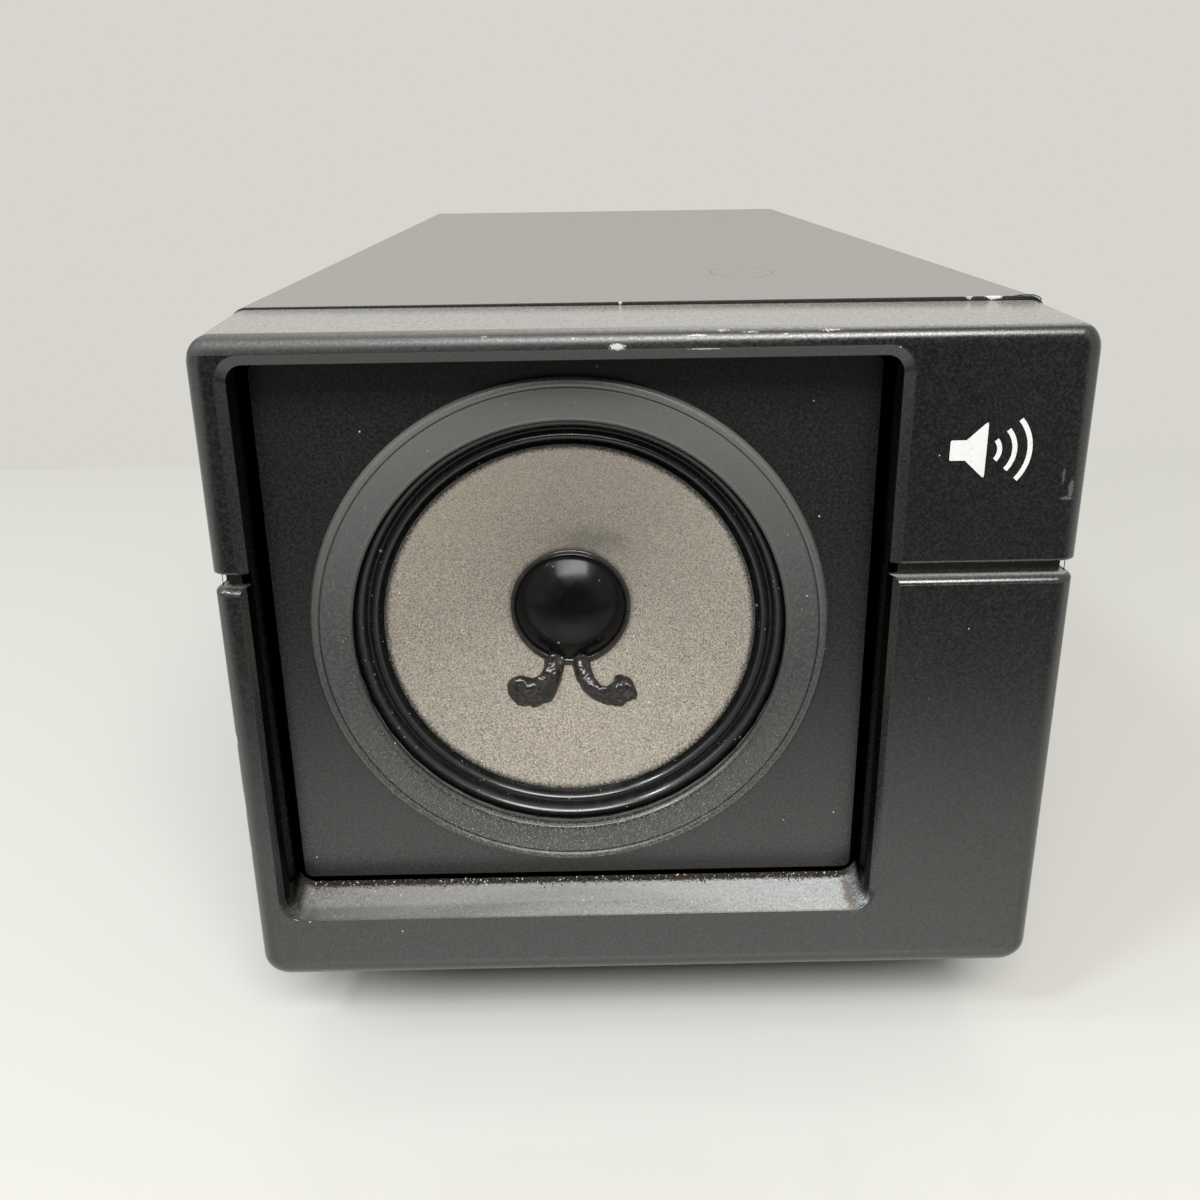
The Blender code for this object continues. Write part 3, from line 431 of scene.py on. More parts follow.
def moulded_plastic(name, dark, light, roughness, grain=0.45, bump=0.22, dust=0.05):
    """Dark moulded plastic with a fine mottled grain and sparse dust."""
    s = Surface(name, dark, roughness, Specular_IOR_Level=0.45, IOR=1.8)
    mottle = s.ramp(s.noise(grain, 3, 0.65), 0.42, 0.64)
    cloud = s.ramp(s.noise(9, 2), 0.35, 0.7, 0.0, 0.25)
    s.paint(s.math("MAXIMUM", mottle, cloud), dark, light)
    s.layer(s.specks(1.7, 0.17, dust), DUST, 0.8)
    s.vary_roughness(s.noise(grain * 0.8, 2), roughness - 0.08, roughness + 0.1)
    s.bump(s.noise(grain, 3, 0.6), bump, 0.06)
    return s


# Chips: x, depth and height of the centre, half sizes the same way, and how white the chip is.
BEZEL_CHIPS = (
    (-4.0, 0.1, 106.2, 1.0, 1.2, 0.42, 0.9),
    (8.3, 0.1, 105.75, 2.0, 0.8, 0.1, 0.9),
    (7.2, 1.0, 107.6, 1.9, 0.8, 0.14, 0.7),
    (10.8, 1.6, 108.1, 1.0, 0.8, 0.16, 0.6),
    (14.8, 1.3, 107.9, 1.3, 0.8, 0.12, 0.6),
    (19.5, 1.0, 107.6, 0.5, 0.8, 0.1, 0.6),
    (26.0, 1.4, 108.0, 1.6, 0.8, 0.14, 0.6),
    (-20.4, 1.0, 107.3, 0.5, 0.8, 0.3, 0.4),
    (-22.6, 1.2, 107.6, 0.5, 0.8, 0.3, 0.4),
    (62.3, 0.0, 84.6, 0.35, 0.8, 1.3, 0.13),
    (61.0, 0.0, 86.6, 0.2, 0.8, 1.1, 0.1),
    (61.8, 0.0, 83.2, 0.9, 0.8, 0.25, 0.12),
    (-64.7, 1.6, 45.5, 0.3, 0.8, 1.0, 0.9),
    (-64.7, 1.6, 34.0, 0.2, 0.8, 2.2, 0.6),
    (-64.7, 1.6, 25.5, 0.2, 0.8, 1.4, 0.5),
)


def bezel_finish():
    """Mottled black with worn edges and dust on what looks up. On the top the pale dust also stands in for
    the top's reflection, and at the left end of the top edge it is thinned as painted shade. Dust on the
    ledge runs from dark to pale and bluish as painted light, there is dirt on the ledge, and the tunnel is
    painted shade.
    """
    s = moulded_plastic("bezel_plastic", (0.0013, 0.0016, 0.0015), (0.0115, 0.013, 0.0125), 0.215)
    for chip in BEZEL_CHIPS:
        s.layer(s.spot(at(*chip[:3]), chip[3:6], 0.5, 0.25, 0.4), CHIPPED, chip[6])
    across = s.world(0)
    # Dust on faces that look up. On the top it is laid thick enough that it also paints the top's
    # reflection of the bright room.
    top_dust_and_reflection = s.times(s.upward(), s.ramp(s.noise(0.5, 4, 0.7), 0.3, 0.7, 0.35, 0.9))
    # Painted shade: the dust is thinned at the left end of the rounded top edge, so that end stays darker,
    # as the light falls from the right.
    dust_share_and_left_shade = s.math("MAXIMUM", s.ramp(across, -0.06, 0.03, 0.25, 1.0), s.ramp(s.depth(), 2.0, 3.4))
    s.layer(s.times(top_dust_and_reflection, dust_share_and_left_shade), (0.33, 0.322, 0.303))
    # Painted shade: the window's inner walls are painted black and made a black metal, so they show neither
    # light nor reflection, as the shade in the recess.
    s.layer(s.tunnel(), PAINTED_SHADE_BLACK)
    s.link(s.tunnel(), "Metallic")
    # Painted light over real dust: the ledge's dust runs from dark at the left end to pale and bluish at
    # the right end, where light and its reflection fall.
    side = s.ramp(across, WINDOW_LEFT * MM, WINDOW_RIGHT * MM)
    dust = s.mix(side, (0.06, 0.057, 0.052), (0.36, 0.38, 0.39))
    s.layer(s.times(s.ledge(), s.ramp(s.noise(0.4, 4, 0.8), 0.42, 0.6, 0.15, 1.0)), dust)
    streak = s.spot(at(WINDOW_RIGHT - 3.6, 4, LEDGE_FRONT + 1), (0.9, 4.5, 2), 0.5, 0.6, 0.8)
    s.layer(streak, (0.06, 0.045, 0.035), 0.8)
    ragged = s.plus(s.depth(), s.times(s.noise(0.5, 4, 0.75), 2.4))
    dirt = s.mix(s.ramp(s.noise(0.2, 3), 0.4, 0.65), (0.004, 0.0035, 0.003), (0.05, 0.042, 0.035))
    s.layer(s.times(s.ledge(), s.ramp(ragged, 8.3, 8.8)), dirt)
    grit = s.math("MAXIMUM", s.specks(0.6, 0.09, 0.25), s.specks(1.5, 0.17, 0.3))
    s.layer(s.times(grit, s.ledge()), DUST, 0.8)
    worn = s.times(s.math("GREATER_THAN", s.height(), 105.9), s.math("LESS_THAN", s.depth(), 3.2))
    dull = s.times(worn, s.ramp(across, -0.06, 0.04, 0.4, 0.05))
    s.link(s.plus(s.feeding("Roughness"), dull), "Roughness")
    return s.material


def paint_finish(name, dark, light, roughness, grain=0.5):
    """Fine textured paint on steel sheet."""
    s = Surface(name, dark, roughness, Specular_IOR_Level=0.7, IOR=1.7)
    s.paint(s.ramp(s.noise(grain, 3, 0.65), 0.36, 0.66), dark, light)
    s.vary_roughness(s.noise(grain, 2), roughness - 0.05, roughness + 0.08)
    s.bump(s.noise(grain * 0.8, 3, 0.6), 0.2, 0.1)
    return s


def cover_finish():
    """Speckled paint, with a pale top that is partly dust and partly painted reflection, a ring worn on the
    top, painted shade on the black front edge, and chips along it.
    """
    s = paint_finish("cabinet_paint", (0.016, 0.0155, 0.015), (0.034, 0.033, 0.031), 0.25)
    # The pale layer on the top is partly dust and partly a painted reflection of the bright room.
    cover_dust_and_reflection = s.ramp(s.noise(0.5, 4, 0.75), 0.35, 0.65, 0.55, 1.0)
    s.layer(s.times(s.upward(0.9, 0.995), cover_dust_and_reflection), (0.175, 0.17, 0.156))
    s.layer(s.specks(1.6, 0.2, 0.12), (0.5, 0.49, 0.46), 0.35)
    centre = at(21.3, 65, CABINET_TOP)
    outer, inner = (s.spot(centre, radii, 0.02, 2, 0.05) for radii in ((6.0, 9.6, 3), (5.5, 9.0, 3)))
    s.layer(s.minus(outer, inner), (0.02, 0.02, 0.02), 0.55)
    # Painted shade: the cover's front edge in the seam gap is painted black.
    s.layer(s.math("LESS_THAN", s.depth(), SEAM + 0.5), (0.002, 0.002, 0.002))
    for x, size, share in ((55.4, 1.3, 0.9), (51.5, 0.5, 0.5), (-2.9, 0.25, 0.6)):
        chip = s.spot(at(x, SEAM + 0.5, CABINET_TOP), (size, 0.45, 0.5), 0.4, 0.3, 0.4)
        s.layer(chip, (0.62, 0.62, 0.6), share)
    return s.material


def baffle_finish():
    """Mottled black pad, with painted shade in the moat round it."""
    dark = (0.0018, 0.0018, 0.0018)
    s = moulded_plastic("baffle_plastic", dark, (0.013, 0.013, 0.0128), 0.27, 0.5, 0.25, 0.1)
    # Painted shade: the moat behind the pad is painted black and made a black metal, so it shows neither
    # light nor reflection.
    moat = s.math("GREATER_THAN", s.depth(), PAD_FRONT + 0.05)
    s.layer(moat, PAINTED_SHADE_BLACK)
    s.link(moat, "Metallic")
    return s.material


def trim_finish():
    """Grey plastic, with painted light over its upper half, darker towards the bottom, and fine pale grit
    on its lower half.
    """
    s = moulded_plastic("trim_plastic", (0.019, 0.0195, 0.019), (0.048, 0.049, 0.048), 0.32, 0.4, 0.12, 0.1)
    # Painted light: the upper half is lightened, as lit from above.
    s.layer(s.ramp(s.height(), DRIVER_HEIGHT - 5, DRIVER_HEIGHT + 32, 0.0, 0.7), (0.115, 0.117, 0.114))
    low = s.ramp(s.height(), DRIVER_HEIGHT - 12, DRIVER_HEIGHT - 34)
    grit = s.times(s.ramp(s.noise(0.3, 4, 0.8), 0.54, 0.64), low)
    # Darker towards the bottom.
    s.layer(low, (0.007, 0.006, 0.005), 0.6)
    s.layer(grit, (0.3, 0.28, 0.25), 0.7)
    return s.material


def cone_finish():
    """Felted paper: a fine salt and pepper fibre, painted light towards its top, and a black fuzzy edge at
    the surround.
    """
    s = Surface("cone_paper", (0.25, 0.23, 0.2), 0.95, Specular_IOR_Level=0.15, Sheen_Weight=0.15)
    s.paint(s.ramp(s.noise(0.29, 5, 0.85), 0.4, 0.6), (0.075, 0.065, 0.053), (0.385, 0.35, 0.297))
    s.layer(s.ramp(s.noise(3.5, 3), 0.3, 0.7, 0.0, 0.25), (0.225, 0.203, 0.175))
    s.layer(s.specks(0.8, 0.16, 0.25), (0.07, 0.062, 0.055), 0.5)
    s.layer(s.specks(1.3, 0.15, 0.12), (0.75, 0.72, 0.66), 0.7)
    # Painted light: the cone is lighter towards its top, as lit from above.
    s.layer(s.ramp(s.height(), DRIVER_HEIGHT, DRIVER_HEIGHT + 28, 0.0, 0.25), (0.55, 0.5, 0.42))
    s.layer(s.spot(on_driver(3.6, 20, 12.0), (5.0, 9, 2.2), 0.5, 1.6, 1.2), (0.1, 0.105, 0.095), 0.5)
    ragged = s.plus(s.axis_radius(), s.times(s.noise(0.35, 4, 0.8), 2.4))
    edge = s.ramp(ragged, 30.2, 30.9)
    neck = s.ramp(ragged, 12.2, 10.9)
    s.layer(s.math("MAXIMUM", edge, s.times(neck, 0.8)), (0.02, 0.018, 0.016))
    s.bump(s.noise(0.22, 4, 0.75), 0.9, 0.12)
    return s.material


def gloss_finish(name, colour, roughness, dust=0.0, lumps=0.0, coat=0.0, shine=0.5):
    """Glossy black lacquer or glue."""
    s = Surface(name, colour, roughness, Specular_IOR_Level=shine, Coat_Weight=coat, Coat_Roughness=0.08)
    s.paint(s.ramp(s.noise(1.2, 3), 0.4, 0.7), colour, tuple(c * 1.8 for c in colour))
    if dust:
        specks = s.math("MAXIMUM", s.specks(0.9, 0.13, dust), s.specks(2.3, 0.3, dust * 0.6))
        s.layer(specks, (0.42, 0.4, 0.36), 0.6)
    s.link(s.ramp(s.noise(2.0, 3), 0.35, 0.7, roughness, roughness + 0.12), "Roughness")
    s.bump(s.noise(1.1, 3, 0.6), 0.25 + lumps, 0.03 + lumps * 0.25)
    return s.material


def metal_finish(name, colour, roughness, grain=0.2, stretch=(1, 1, 1)):
    """Bare or plated metal, with a fine grain that may be stretched."""
    s = Surface(name, colour, roughness, 1.0)
    s.paint(s.ramp(s.noise(grain * 6, 3), 0.3, 0.7), tuple(c * 0.8 for c in colour), colour)
    s.vary_roughness(s.noise(grain, 2, 0.6, stretch), roughness - 0.08, roughness + 0.1)
    s.bump(s.noise(grain, 2, 0.5, stretch), 0.2, 0.02)
    return s.material


def matt_finish(name, dark, light, roughness, level, noise, span=(0.3, 0.7), sheen=0.0):
    """Matt stuff in two mottled tones. The noise is given as Surface.noise() takes it."""
    s = Surface(name, dark, roughness, Specular_IOR_Level=level, Sheen_Weight=sheen)
    s.paint(s.ramp(s.noise(*noise), *span), dark, light)
    return s


def fibre_finish(name, dark, light, grain, bump=0.6):
    """Felt, card and ferrite."""
    s = matt_finish(name, dark, light, 0.95, 0.2, (grain, 4, 0.7), (0.35, 0.65), 0.2)
    s.bump(s.noise(grain * 0.7, 4, 0.7), bump, grain * 0.4)
    return s.material


def weave_finish(name, dark, light, pitch):
    """Woven cloth, its threads across and up."""
    s = Surface(name, dark, 0.8, Specular_IOR_Level=0.3)
    vector = {"Vector": s.place, "Scale": 0.314 / (pitch * MM)}
    waves = [s.node("TexWave", vector, bands_direction=way).outputs["Fac"] for way in ("X", "Z")]
    height = s.math("MAXIMUM", *waves)
    s.paint(s.times(height, s.ramp(s.noise(pitch, 2), 0.3, 0.7, 0.5, 1)), dark, light)
    s.bump(height, 0.6, pitch * 0.3)
    return s.material


def rubber_finish():
    s = matt_finish("rubber", (0.012, 0.012, 0.012), (0.028, 0.027, 0.026), 0.75, 0.3, (0.8, 4), (0.4, 0.7))
    s.bump(s.noise(0.35, 3), 0.3, 0.05)
    return s.material


def print_finish():
    noise = (0.35, 4, 0.7)
    s = matt_finish("print_ink", (0.35, 0.35, 0.35), (0.6, 0.61, 0.6), 0.55, 0.4, noise, (0.3, 0.42))
    s.bump(s.noise(0.3, 2), 0.2, 0.02)
    return s.material


def wire_finish(name, colour):
    s = matt_finish(name, tuple(c * 0.75 for c in colour), colour, 0.45, 0.5, (3, 2))
    s.bump(s.noise(0.6, 2), 0.15, 0.03)
    return s.material


def crumb_finish(name, colour):
    dark = tuple(c * 0.5 for c in colour)
    return matt_finish(name, dark, colour, 0.9, 0.2, (0.3, 3), (0.0, 1.0)).material


# ---- bezel

WINDOW_LEFT = -60.9
WINDOW_RIGHT = 38.3
WINDOW_TOP = 105.8
LEDGE_FRONT = 12.2
LEDGE_SLOPE = 0.22
BEVEL = 1.5
TUNNEL_DEPTH = 8.8
GROOVE_LOW = 71.1
GROOVE_HIGH = 73.4
FACE_HALF = 65.2
FACE_TOP = 108.3
TAPER_RUN = 21.3
TAPER_TOP = 1.5 / TAPER_RUN
TAPER_SIDE = 1.6 / TAPER_RUN
TAPER_LOW = 1.2 / TAPER_RUN
CORNER_LOW = 4.7
CORNER_HIGH = 3.9
CORNER_SHRINK = 1.1  # lost by the upper corners towards the seam
CORNER_STEPS = 12
EDGE_SIDE = 3.0
EDGE_LOW = 4.0
EDGE_TOP = 1.9
LIP_END = 25.5


def outline(left, right, low, high, low_radius, high_radius):
    """Points and outward normals round a rectangle with round corners. Both upright sides also
    have two points inside the groove, where the window's bevel changes."""
    corners = (
        (right - low_radius, low + low_radius, low_radius, -90),
        (right - high_radius, high - high_radius, high_radius, 0),
        (left + high_radius, high - high_radius, high_radius, 90),
        (left + low_radius, low + low_radius, low_radius, 180),
    )
    groove = (GROOVE_LOW + 0.4, GROOVE_HIGH - 0.4)
    made = []
    for k, (x, height, radius, start) in enumerate(corners):
        for i in range(CORNER_STEPS + 1):
            normal = polar(1, math.radians(start + 90 * i / CORNER_STEPS))
            made.append((x + radius * normal[0], height + radius * normal[1], normal))
        if k == 0:
            made += [(right, h, (1, 0)) for h in groove]
        if k == 2:
            made += [(left, h, (-1, 0)) for h in groove[::-1]]
    return made


def skin_loop(depth, inset=0.0):
    """Loop of the bezel's tapered outer skin at a depth."""
    return outline(
        -FACE_HALF + TAPER_SIDE * depth + inset,
        FACE_HALF - TAPER_SIDE * depth - inset,
        TAPER_LOW * depth + inset,
        FACE_TOP + TAPER_TOP * depth - inset,
        CORNER_LOW,
        CORNER_HIGH - CORNER_SHRINK * depth / SEAM,
    )


def outer_loops():
    """Skin from the seam to the flat face, with its front edge rounded."""
    loops = []
    for before_seam, inset in ((0.0, 0.45), (0.06, 0.2), (0.25, 0.05), (0.5, 0.0), (SEAM - 12, 0.0)):
        depth = SEAM - before_seam
        loop = []
        for x, height, normal in skin_loop(depth, inset):
            dip = max(normal[1], 0) * (0.2 + 0.4 * (x / FACE_HALF + 1) / 2) * depth / SEAM
            loop.append(at(x, depth, height - dip))
        loops.append(loop)
    steps = 12
    for k in range(steps + 1):
        turn = math.radians(90 * k / steps)
        loop = []
        for x, height, normal in skin_loop(0):
            radius = EDGE_SIDE
            radius += (EDGE_LOW - EDGE_SIDE) * max(-normal[1], 0) ** 2
            radius += (EDGE_TOP - EDGE_SIDE) * max(normal[1], 0) ** 2
            depth = radius * (1 - math.sin(turn))
            inset = radius * (1 - math.cos(turn))
            back_x = x - normal[0] * (inset + TAPER_SIDE * depth)
            back_height = height - normal[1] * (inset - TAPER_TOP * depth)
            loop.append(at(back_x, depth, back_height))
        loops.append(loop)
    support = 0.1 * MM
    normals = [normal for _, _, normal in skin_loop(0)]
    loops.append([v - Vector((n[0], 0, n[1])) * support for v, n in zip(loops[-1], normals)])
    return loops


def window_loop(inset, depth, steep_depth):
    """Loop of the window. The bevel is shallow above the groove and steep below it."""
    low = LEDGE_FRONT + LEDGE_SLOPE * depth
    left = WINDOW_LEFT + inset
    right = WINDOW_RIGHT - inset
    corner = 4
    loop = []
    shape = outline(left, right, low, WINDOW_TOP - inset, corner - inset / 2, corner - inset)
    for x, height, normal in shape:
        side = normal[0] * normal[0] * (3 - 2 * abs(normal[0]))
        below = height < (GROOVE_LOW + GROOVE_HIGH) / 2
        local = depth + (steep_depth - depth) * side if below else depth
        rise = LEDGE_SLOPE * (local - depth) if below and normal[1] < 0 else 0
        loop.append(at(x, local, height + rise))
    return loop


def bezel_loops():
    """All loops of the bezel, from its rear lip over the face and the window to its hollow."""
    lip = (-62.2, 62.2, 2.8, 108.4)
    loops = []
    for depth, inset in ((LIP_END, 0.4), (LIP_END - 0.3, 0.0), (SEAM, 0.0)):
        shape = outline(lip[0] + inset, lip[1] - inset, lip[2] + inset, lip[3] - inset, 2.6, 2.6)
        loops.append([at(x, depth, height) for x, height, _ in shape])
    loops += outer_loops()
    rim = ((-0.4, 0.0, 0.0), (-0.25, 0.0, 0.0), (-0.08, 0.03, 0.03), (0.06, 0.1, 0.12), (0.2, 0.2, 0.35))
    foot = ((BEVEL - 0.2, 0.85, 2.1), (BEVEL - 0.05, 0.97, 2.45), (BEVEL, 1.15, 2.8))
    for row in (*rim, *foot, (BEVEL, TUNNEL_DEPTH, TUNNEL_DEPTH)):
        loops.append(window_loop(*row))
    around = outline(-60.0, WINDOW_RIGHT + 2, LEDGE_FRONT - 2, 106.2, 2, 2)
    hollow = outline(-60.2, 60.2, 4.8, 106.4, 2, 2)
    wall = 3
    pockets = []
    for _, _, normal in around:
        shallow = min(max(max(-normal[0], normal[1]) * 1.5, 0), 1)
        pockets.append(wall + (TUNNEL_DEPTH - 0.1 - wall) * shallow)
    loops.append([at(x, TUNNEL_DEPTH, height) for x, height, _ in around])
    for shape in (around, hollow):
        loops.append([at(x, depth, height) for (x, height, _), depth in zip(shape, pockets)])
    loops.append([at(x, LIP_END, height) for x, height, _ in hollow])
    return loops


def groove_cutter(side):
    """Cutter for the groove: its section follows the face, the rounded corner and the side."""
    start = 30.0 if side > 0 else -52.0
    path = [((start, 0.0), (0.0, -1.0)), ((side * (FACE_HALF - EDGE_SIDE - 0.2), 0.0), (0.0, -1.0))]
    steps = 10
    for k in range(1, steps):
        turn = math.pi / 2 * k / steps
        normal = (side * math.sin(turn), -math.cos(turn))
        x = side * (FACE_HALF - EDGE_SIDE) + EDGE_SIDE * normal[0]
        path.append(((x, EDGE_SIDE + EDGE_SIDE * normal[1]), normal))
    for depth in (EDGE_SIDE, 18.3):
        path.append(((side * (FACE_HALF - TAPER_SIDE * depth), depth), (float(side), 0.0)))
    loops = []
    for i, ((x, depth), normal) in enumerate(path):
        along = min(max((i - 1) / steps, 0), 1)
        deep = 2.2 - 1.15 * along
        section = [
            (-1.5, GROOVE_HIGH + 2.4),
            (0.05, GROOVE_HIGH + 0.34),
            (0.12, GROOVE_HIGH + 0.14),
            (0.34, GROOVE_HIGH),
            (deep - 0.15, GROOVE_HIGH),
            (deep, GROOVE_HIGH - 0.15),
            (deep, GROOVE_LOW + 0.2),
            (deep - 0.2, GROOVE_LOW),
            (0.88, GROOVE_LOW),
            (0.8, GROOVE_LOW - 0.03),
            (0.34, GROOVE_LOW - 0.48),
            (0.2, GROOVE_LOW - 0.66),
            (0.1, GROOVE_LOW - 0.86),
            (0.04, GROOVE_LOW - 1.1),
            (-1.5, GROOVE_LOW - 4.5),
        ]
        loops.append([at(x - normal[0] * e, depth - normal[1] * e, h) for e, h in section])
    return raw(f"groove_{'right' if side > 0 else 'left'}", *loops_mesh(loops))


def make_bezel(material):
    bezel = raw("bezel", *loops_mesh(bezel_loops(), closed=True))
    cutters = [groove_cutter(1), groove_cutter(-1)]
    for side in (-1, 1):
        x = sorted((side * (FACE_HALF - 1.25), side * (FACE_HALF - 2.4)))
        cutters.append(block(f"pocket_{side}", x, (-1, 4.2), (GROOVE_LOW + 0.02, GROOVE_HIGH - 0.02)))
    cut(bezel, cutters)
    settle(bezel, material, replaces=("front_bezel",), slot="bezel_plastic", angle=24)


def make_print(material):
    """Generic loudspeaker pictogram on the face: a box, a horn and three waves."""
    centre = (50.2, 90.6)
    ink = (-0.02, 0.05)
    half_stroke = 0.36
    horn = [(-6.2, -1.5), (-3.9, -1.5), (-0.9, -4.3), (-0.9, 4.3), (-3.9, 1.5), (-6.2, 1.5)]
    shapes = [rounded(horn, 0.25, 2)]
    for radius in (2.2, 4.4, 6.6):
        outer = arc((-1.2, 0), radius + half_stroke, -42, 42, 14)
        inner = arc((-1.2, 0), radius - half_stroke, 42, -42, 14)
        shapes.append(outer + inner)
    verts = []
    faces = []
    for shape in shapes:
        loops = [[at(centre[0] + x, depth, centre[1] + h) for x, h in shape] for depth in ink]
        v, f = loops_mesh(loops)
        faces += [tuple(i + len(verts) for i in face) for face in f]
        verts += v
    piece("speaker_pictogram", verts, faces, material, slot="bezel_plastic")


# ---- driver


def make_ring(material):
    """Trim ring: flat face, a fine groove inside a raised rim, and softly broken edges."""
    face = RING_FRONT + 0.25
    rim = RING_OUTER - 1.3
    profile = [
        (34.4, face + 0.6, 0.1),
        (34.75, face + 0.12, 0.15),
        (35.2, face, 0.2),
        (rim - 0.38, face, 0.04),
        (rim - 0.2, face + 0.35, 0.04),
        (rim - 0.02, face, 0.04),
        (rim + 0.4, face - 0.25, 0.2),
        (RING_OUTER - 0.35, face - 0.12, 0.2),
        (RING_OUTER, face + 0.35, 0.15),
        (RING_OUTER, RING_BACK, 0.05),
        (34.4, RING_BACK, 0.05),
    ]
    ties = {"replaces": ("driver_trim_ring",), "slot": "trim_plastic", "angle": 40}
    spun("trim_ring", rounded(profile, 0.1), 200, material, **ties)


def make_surround(material):
    """Doped cloth surround with two rolls."""
    flat = (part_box("cone_surround")[0].y - FRONT_Y) / MM + 0.75
    path = [(29.3, 12.0), (29.9, 11.85), (30.3, 11.6)]
    rolls = ((30.5, 32.3, 0.95), (32.6, 35.0, 1.25))
    for start, end, height in rolls:
        steps = 10
        for i in range(steps + 1):
            t = i / steps
            base = 11.5 + (flat - 11.5) * ((start + (end - start) * t) - 30.3) / 4.7
            path.append((start + (end - start) * t, base - height * math.sin(math.pi * t) ** 0.8))
    path += [(35.4, flat + 0.1), (38.3, flat + 0.1)]
    obj = spun("surround", thin_wall(path, 0.28), 160, material, body=None, slot="surround_gloss", angle=50)
    blend_radially(obj)
    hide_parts("cone_surround")


def make_flexing_copies(cloth, braid):
    """Copies of the CAD's spider and leads."""
    for node, inner, outer, material, slot in (
        ("spider", 10.0, 19.0, cloth, "spider_cloth"),
        ("tinsel_lead_left", 16.0, 31.0, braid, "braid"),
        ("tinsel_lead_right", 16.0, 31.0, braid, "braid"),
    ):
        mesh = NODES[node].data.copy()
        mesh.materials.clear()
        obj = new_object(f"flexing_{node}", mesh)
        settle(obj, material, None, (), slot, 50)
        blend_radially(obj)
        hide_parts(node)


def blend_radially(obj):
    """Bake the object's transform into its mesh."""
    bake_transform(obj)


CONE_NECK = 8.5
CONE_WIDTH = 21.3
CONE_BACK = 20.9
CONE_RISE = 10


def cone_depth(radius):
    """Depth of the cone's front surface at a radius."""
    return CONE_BACK - CONE_RISE * (radius - CONE_NECK) / CONE_WIDTH


def make_cone(material):
    steps = 12
    path = []
    for i in range(steps + 1):
        radius = CONE_NECK + CONE_WIDTH * i / steps
        path.append((radius, cone_depth(radius)))
    ties = {"body": "diaphragm", "replaces": ("paper_cone",), "slot": "cone_paper", "angle": 50}
    spun("cone", rounded(thin_wall(path, 0.45), 0.08), 144, material, **ties)


def make_dust_cap(material):
    """Shallow dome with a fine step at its rim, on a flat flange."""
    rim_depth = cone_depth(9.6) - 0.7
    dome_radius = 9.1
    height = 3.35
    sphere = (dome_radius**2 + height**2) / (2 * height)
    path = []
    for i in range(19):
        radius = dome_radius * i / 18
        path.append((radius, rim_depth - 0.15 - height + sphere - math.sqrt(sphere**2 - radius**2)))
    step = ((9.16, 0.02), (9.26, -0.1), (9.4, -0.08), (9.6, 0.2))
    path += [(radius, rim_depth + back) for radius, back in step]
    ties = {"body": "diaphragm", "replaces": ("dust_cap",), "slot": "cap_gloss", "angle": 50}
    spun("dust_cap_dome", thin_wall(path, 0.35), 96, material, **ties)


def make_cap_glue(material):
    """Uneven bead of glue round the dust cap's edge, thickest at the bottom."""
    steps = 120
    sides = 10
    loops = []
    for i in range(steps):
        angle = 2 * math.pi * i / steps
        low = max(-math.sin(angle), 0) ** 2
        lump = noise.noise(Vector((*polar(2.2, angle), 3.0)))
        size = 0.34 + 0.28 * low + 0.08 * lump
        radius = 9.75 + 0.25 * low
        depth = cone_depth(radius) - 0.3
        loop = []
        for k in range(sides):
            out, front = polar(size, 2 * math.pi * k / sides)
            x, height = polar(radius + out, angle)
            loop.append(on_driver(x, depth - 0.8 * front, height))
        loops.append(loop)
    ties = {"body": "diaphragm", "slot": "glue", "angle": 60}
    piece("cap_glue_bead", *loops_mesh(loops, closed=True), material, **ties)


GLUE = {
    "left": (
        (-2.9, -9.9, 1.9), (-3.1, -11.2, 1.8), (-3.9, -12.8, 2.2), (-5.6, -14.4, 3.2), (-6.6, -15.0, 3.6),
        (-8.2, -14.0, 2.8), (-9.3, -12.8, 1.9),
    ),
    "right": (
        (1.5, -9.9, 1.7), (1.8, -11.4, 1.6), (2.4, -13.0, 1.7), (3.6, -14.5, 1.9), (5.2, -15.3, 2.2),
        (7.2, -15.6, 2.7), (8.5, -14.7, 2.7), (8.9, -13.2, 1.7), (8.1, -12.6, 1.2),
    ),
}


def make_lead_glue(material):
    """Lumpy runs of glue over the leads, from the cap down the cone."""
    slope = Matrix.Rotation(math.radians(-25), 4, "X")
    flatten = Matrix.Diagonal((1, 0.4, 1, 1))
    for side, blobs in GLUE.items():
        parts = bmesh.new()
        for start, end in zip(blobs, blobs[1:]):
            for k in range(4):
                x, height, radius = (a + (b - a) * k / 4 for a, b in zip(start, end))
                depth = cone_depth(math.hypot(x, height)) - 0.1
                turn = Matrix.Rotation(math.atan2(-x, height), 4, "Y") @ slope
                place = Matrix.Translation(on_driver(x, depth, height)) @ turn @ flatten
                bmesh.ops.create_icosphere(parts, subdivisions=3, radius=radius * MM, matrix=place)
        mesh = bpy.data.meshes.new(f"lead_glue_{side}_run")
        parts.to_mesh(mesh)
        parts.free()
        obj = new_object(f"lead_glue_{side}_run", mesh)
        remesh = obj.modifiers.new("remesh", "REMESH")
        remesh.mode = "VOXEL"
        remesh.voxel_size = 0.2 * MM
        relax = obj.modifiers.new("relax", "SMOOTH")
        relax.iterations = 4
        applied(obj)
        for vert in obj.data.vertices:
            lump = noise.noise(vert.co / (1.6 * MM)) * 0.5 + noise.noise(vert.co / (0.6 * MM)) * 0.15
            vert.co.y += lump * MM
            offset = vert.co - on_driver(0, 0, 0)
            behind = cone_depth(math.hypot(offset.x, offset.z) / MM) + 0.3
            vert.co.y = min(vert.co.y, FRONT_Y + behind * MM)
        settle(obj, material, "diaphragm", (f"lead_glue_{side}",), "glue", 60)


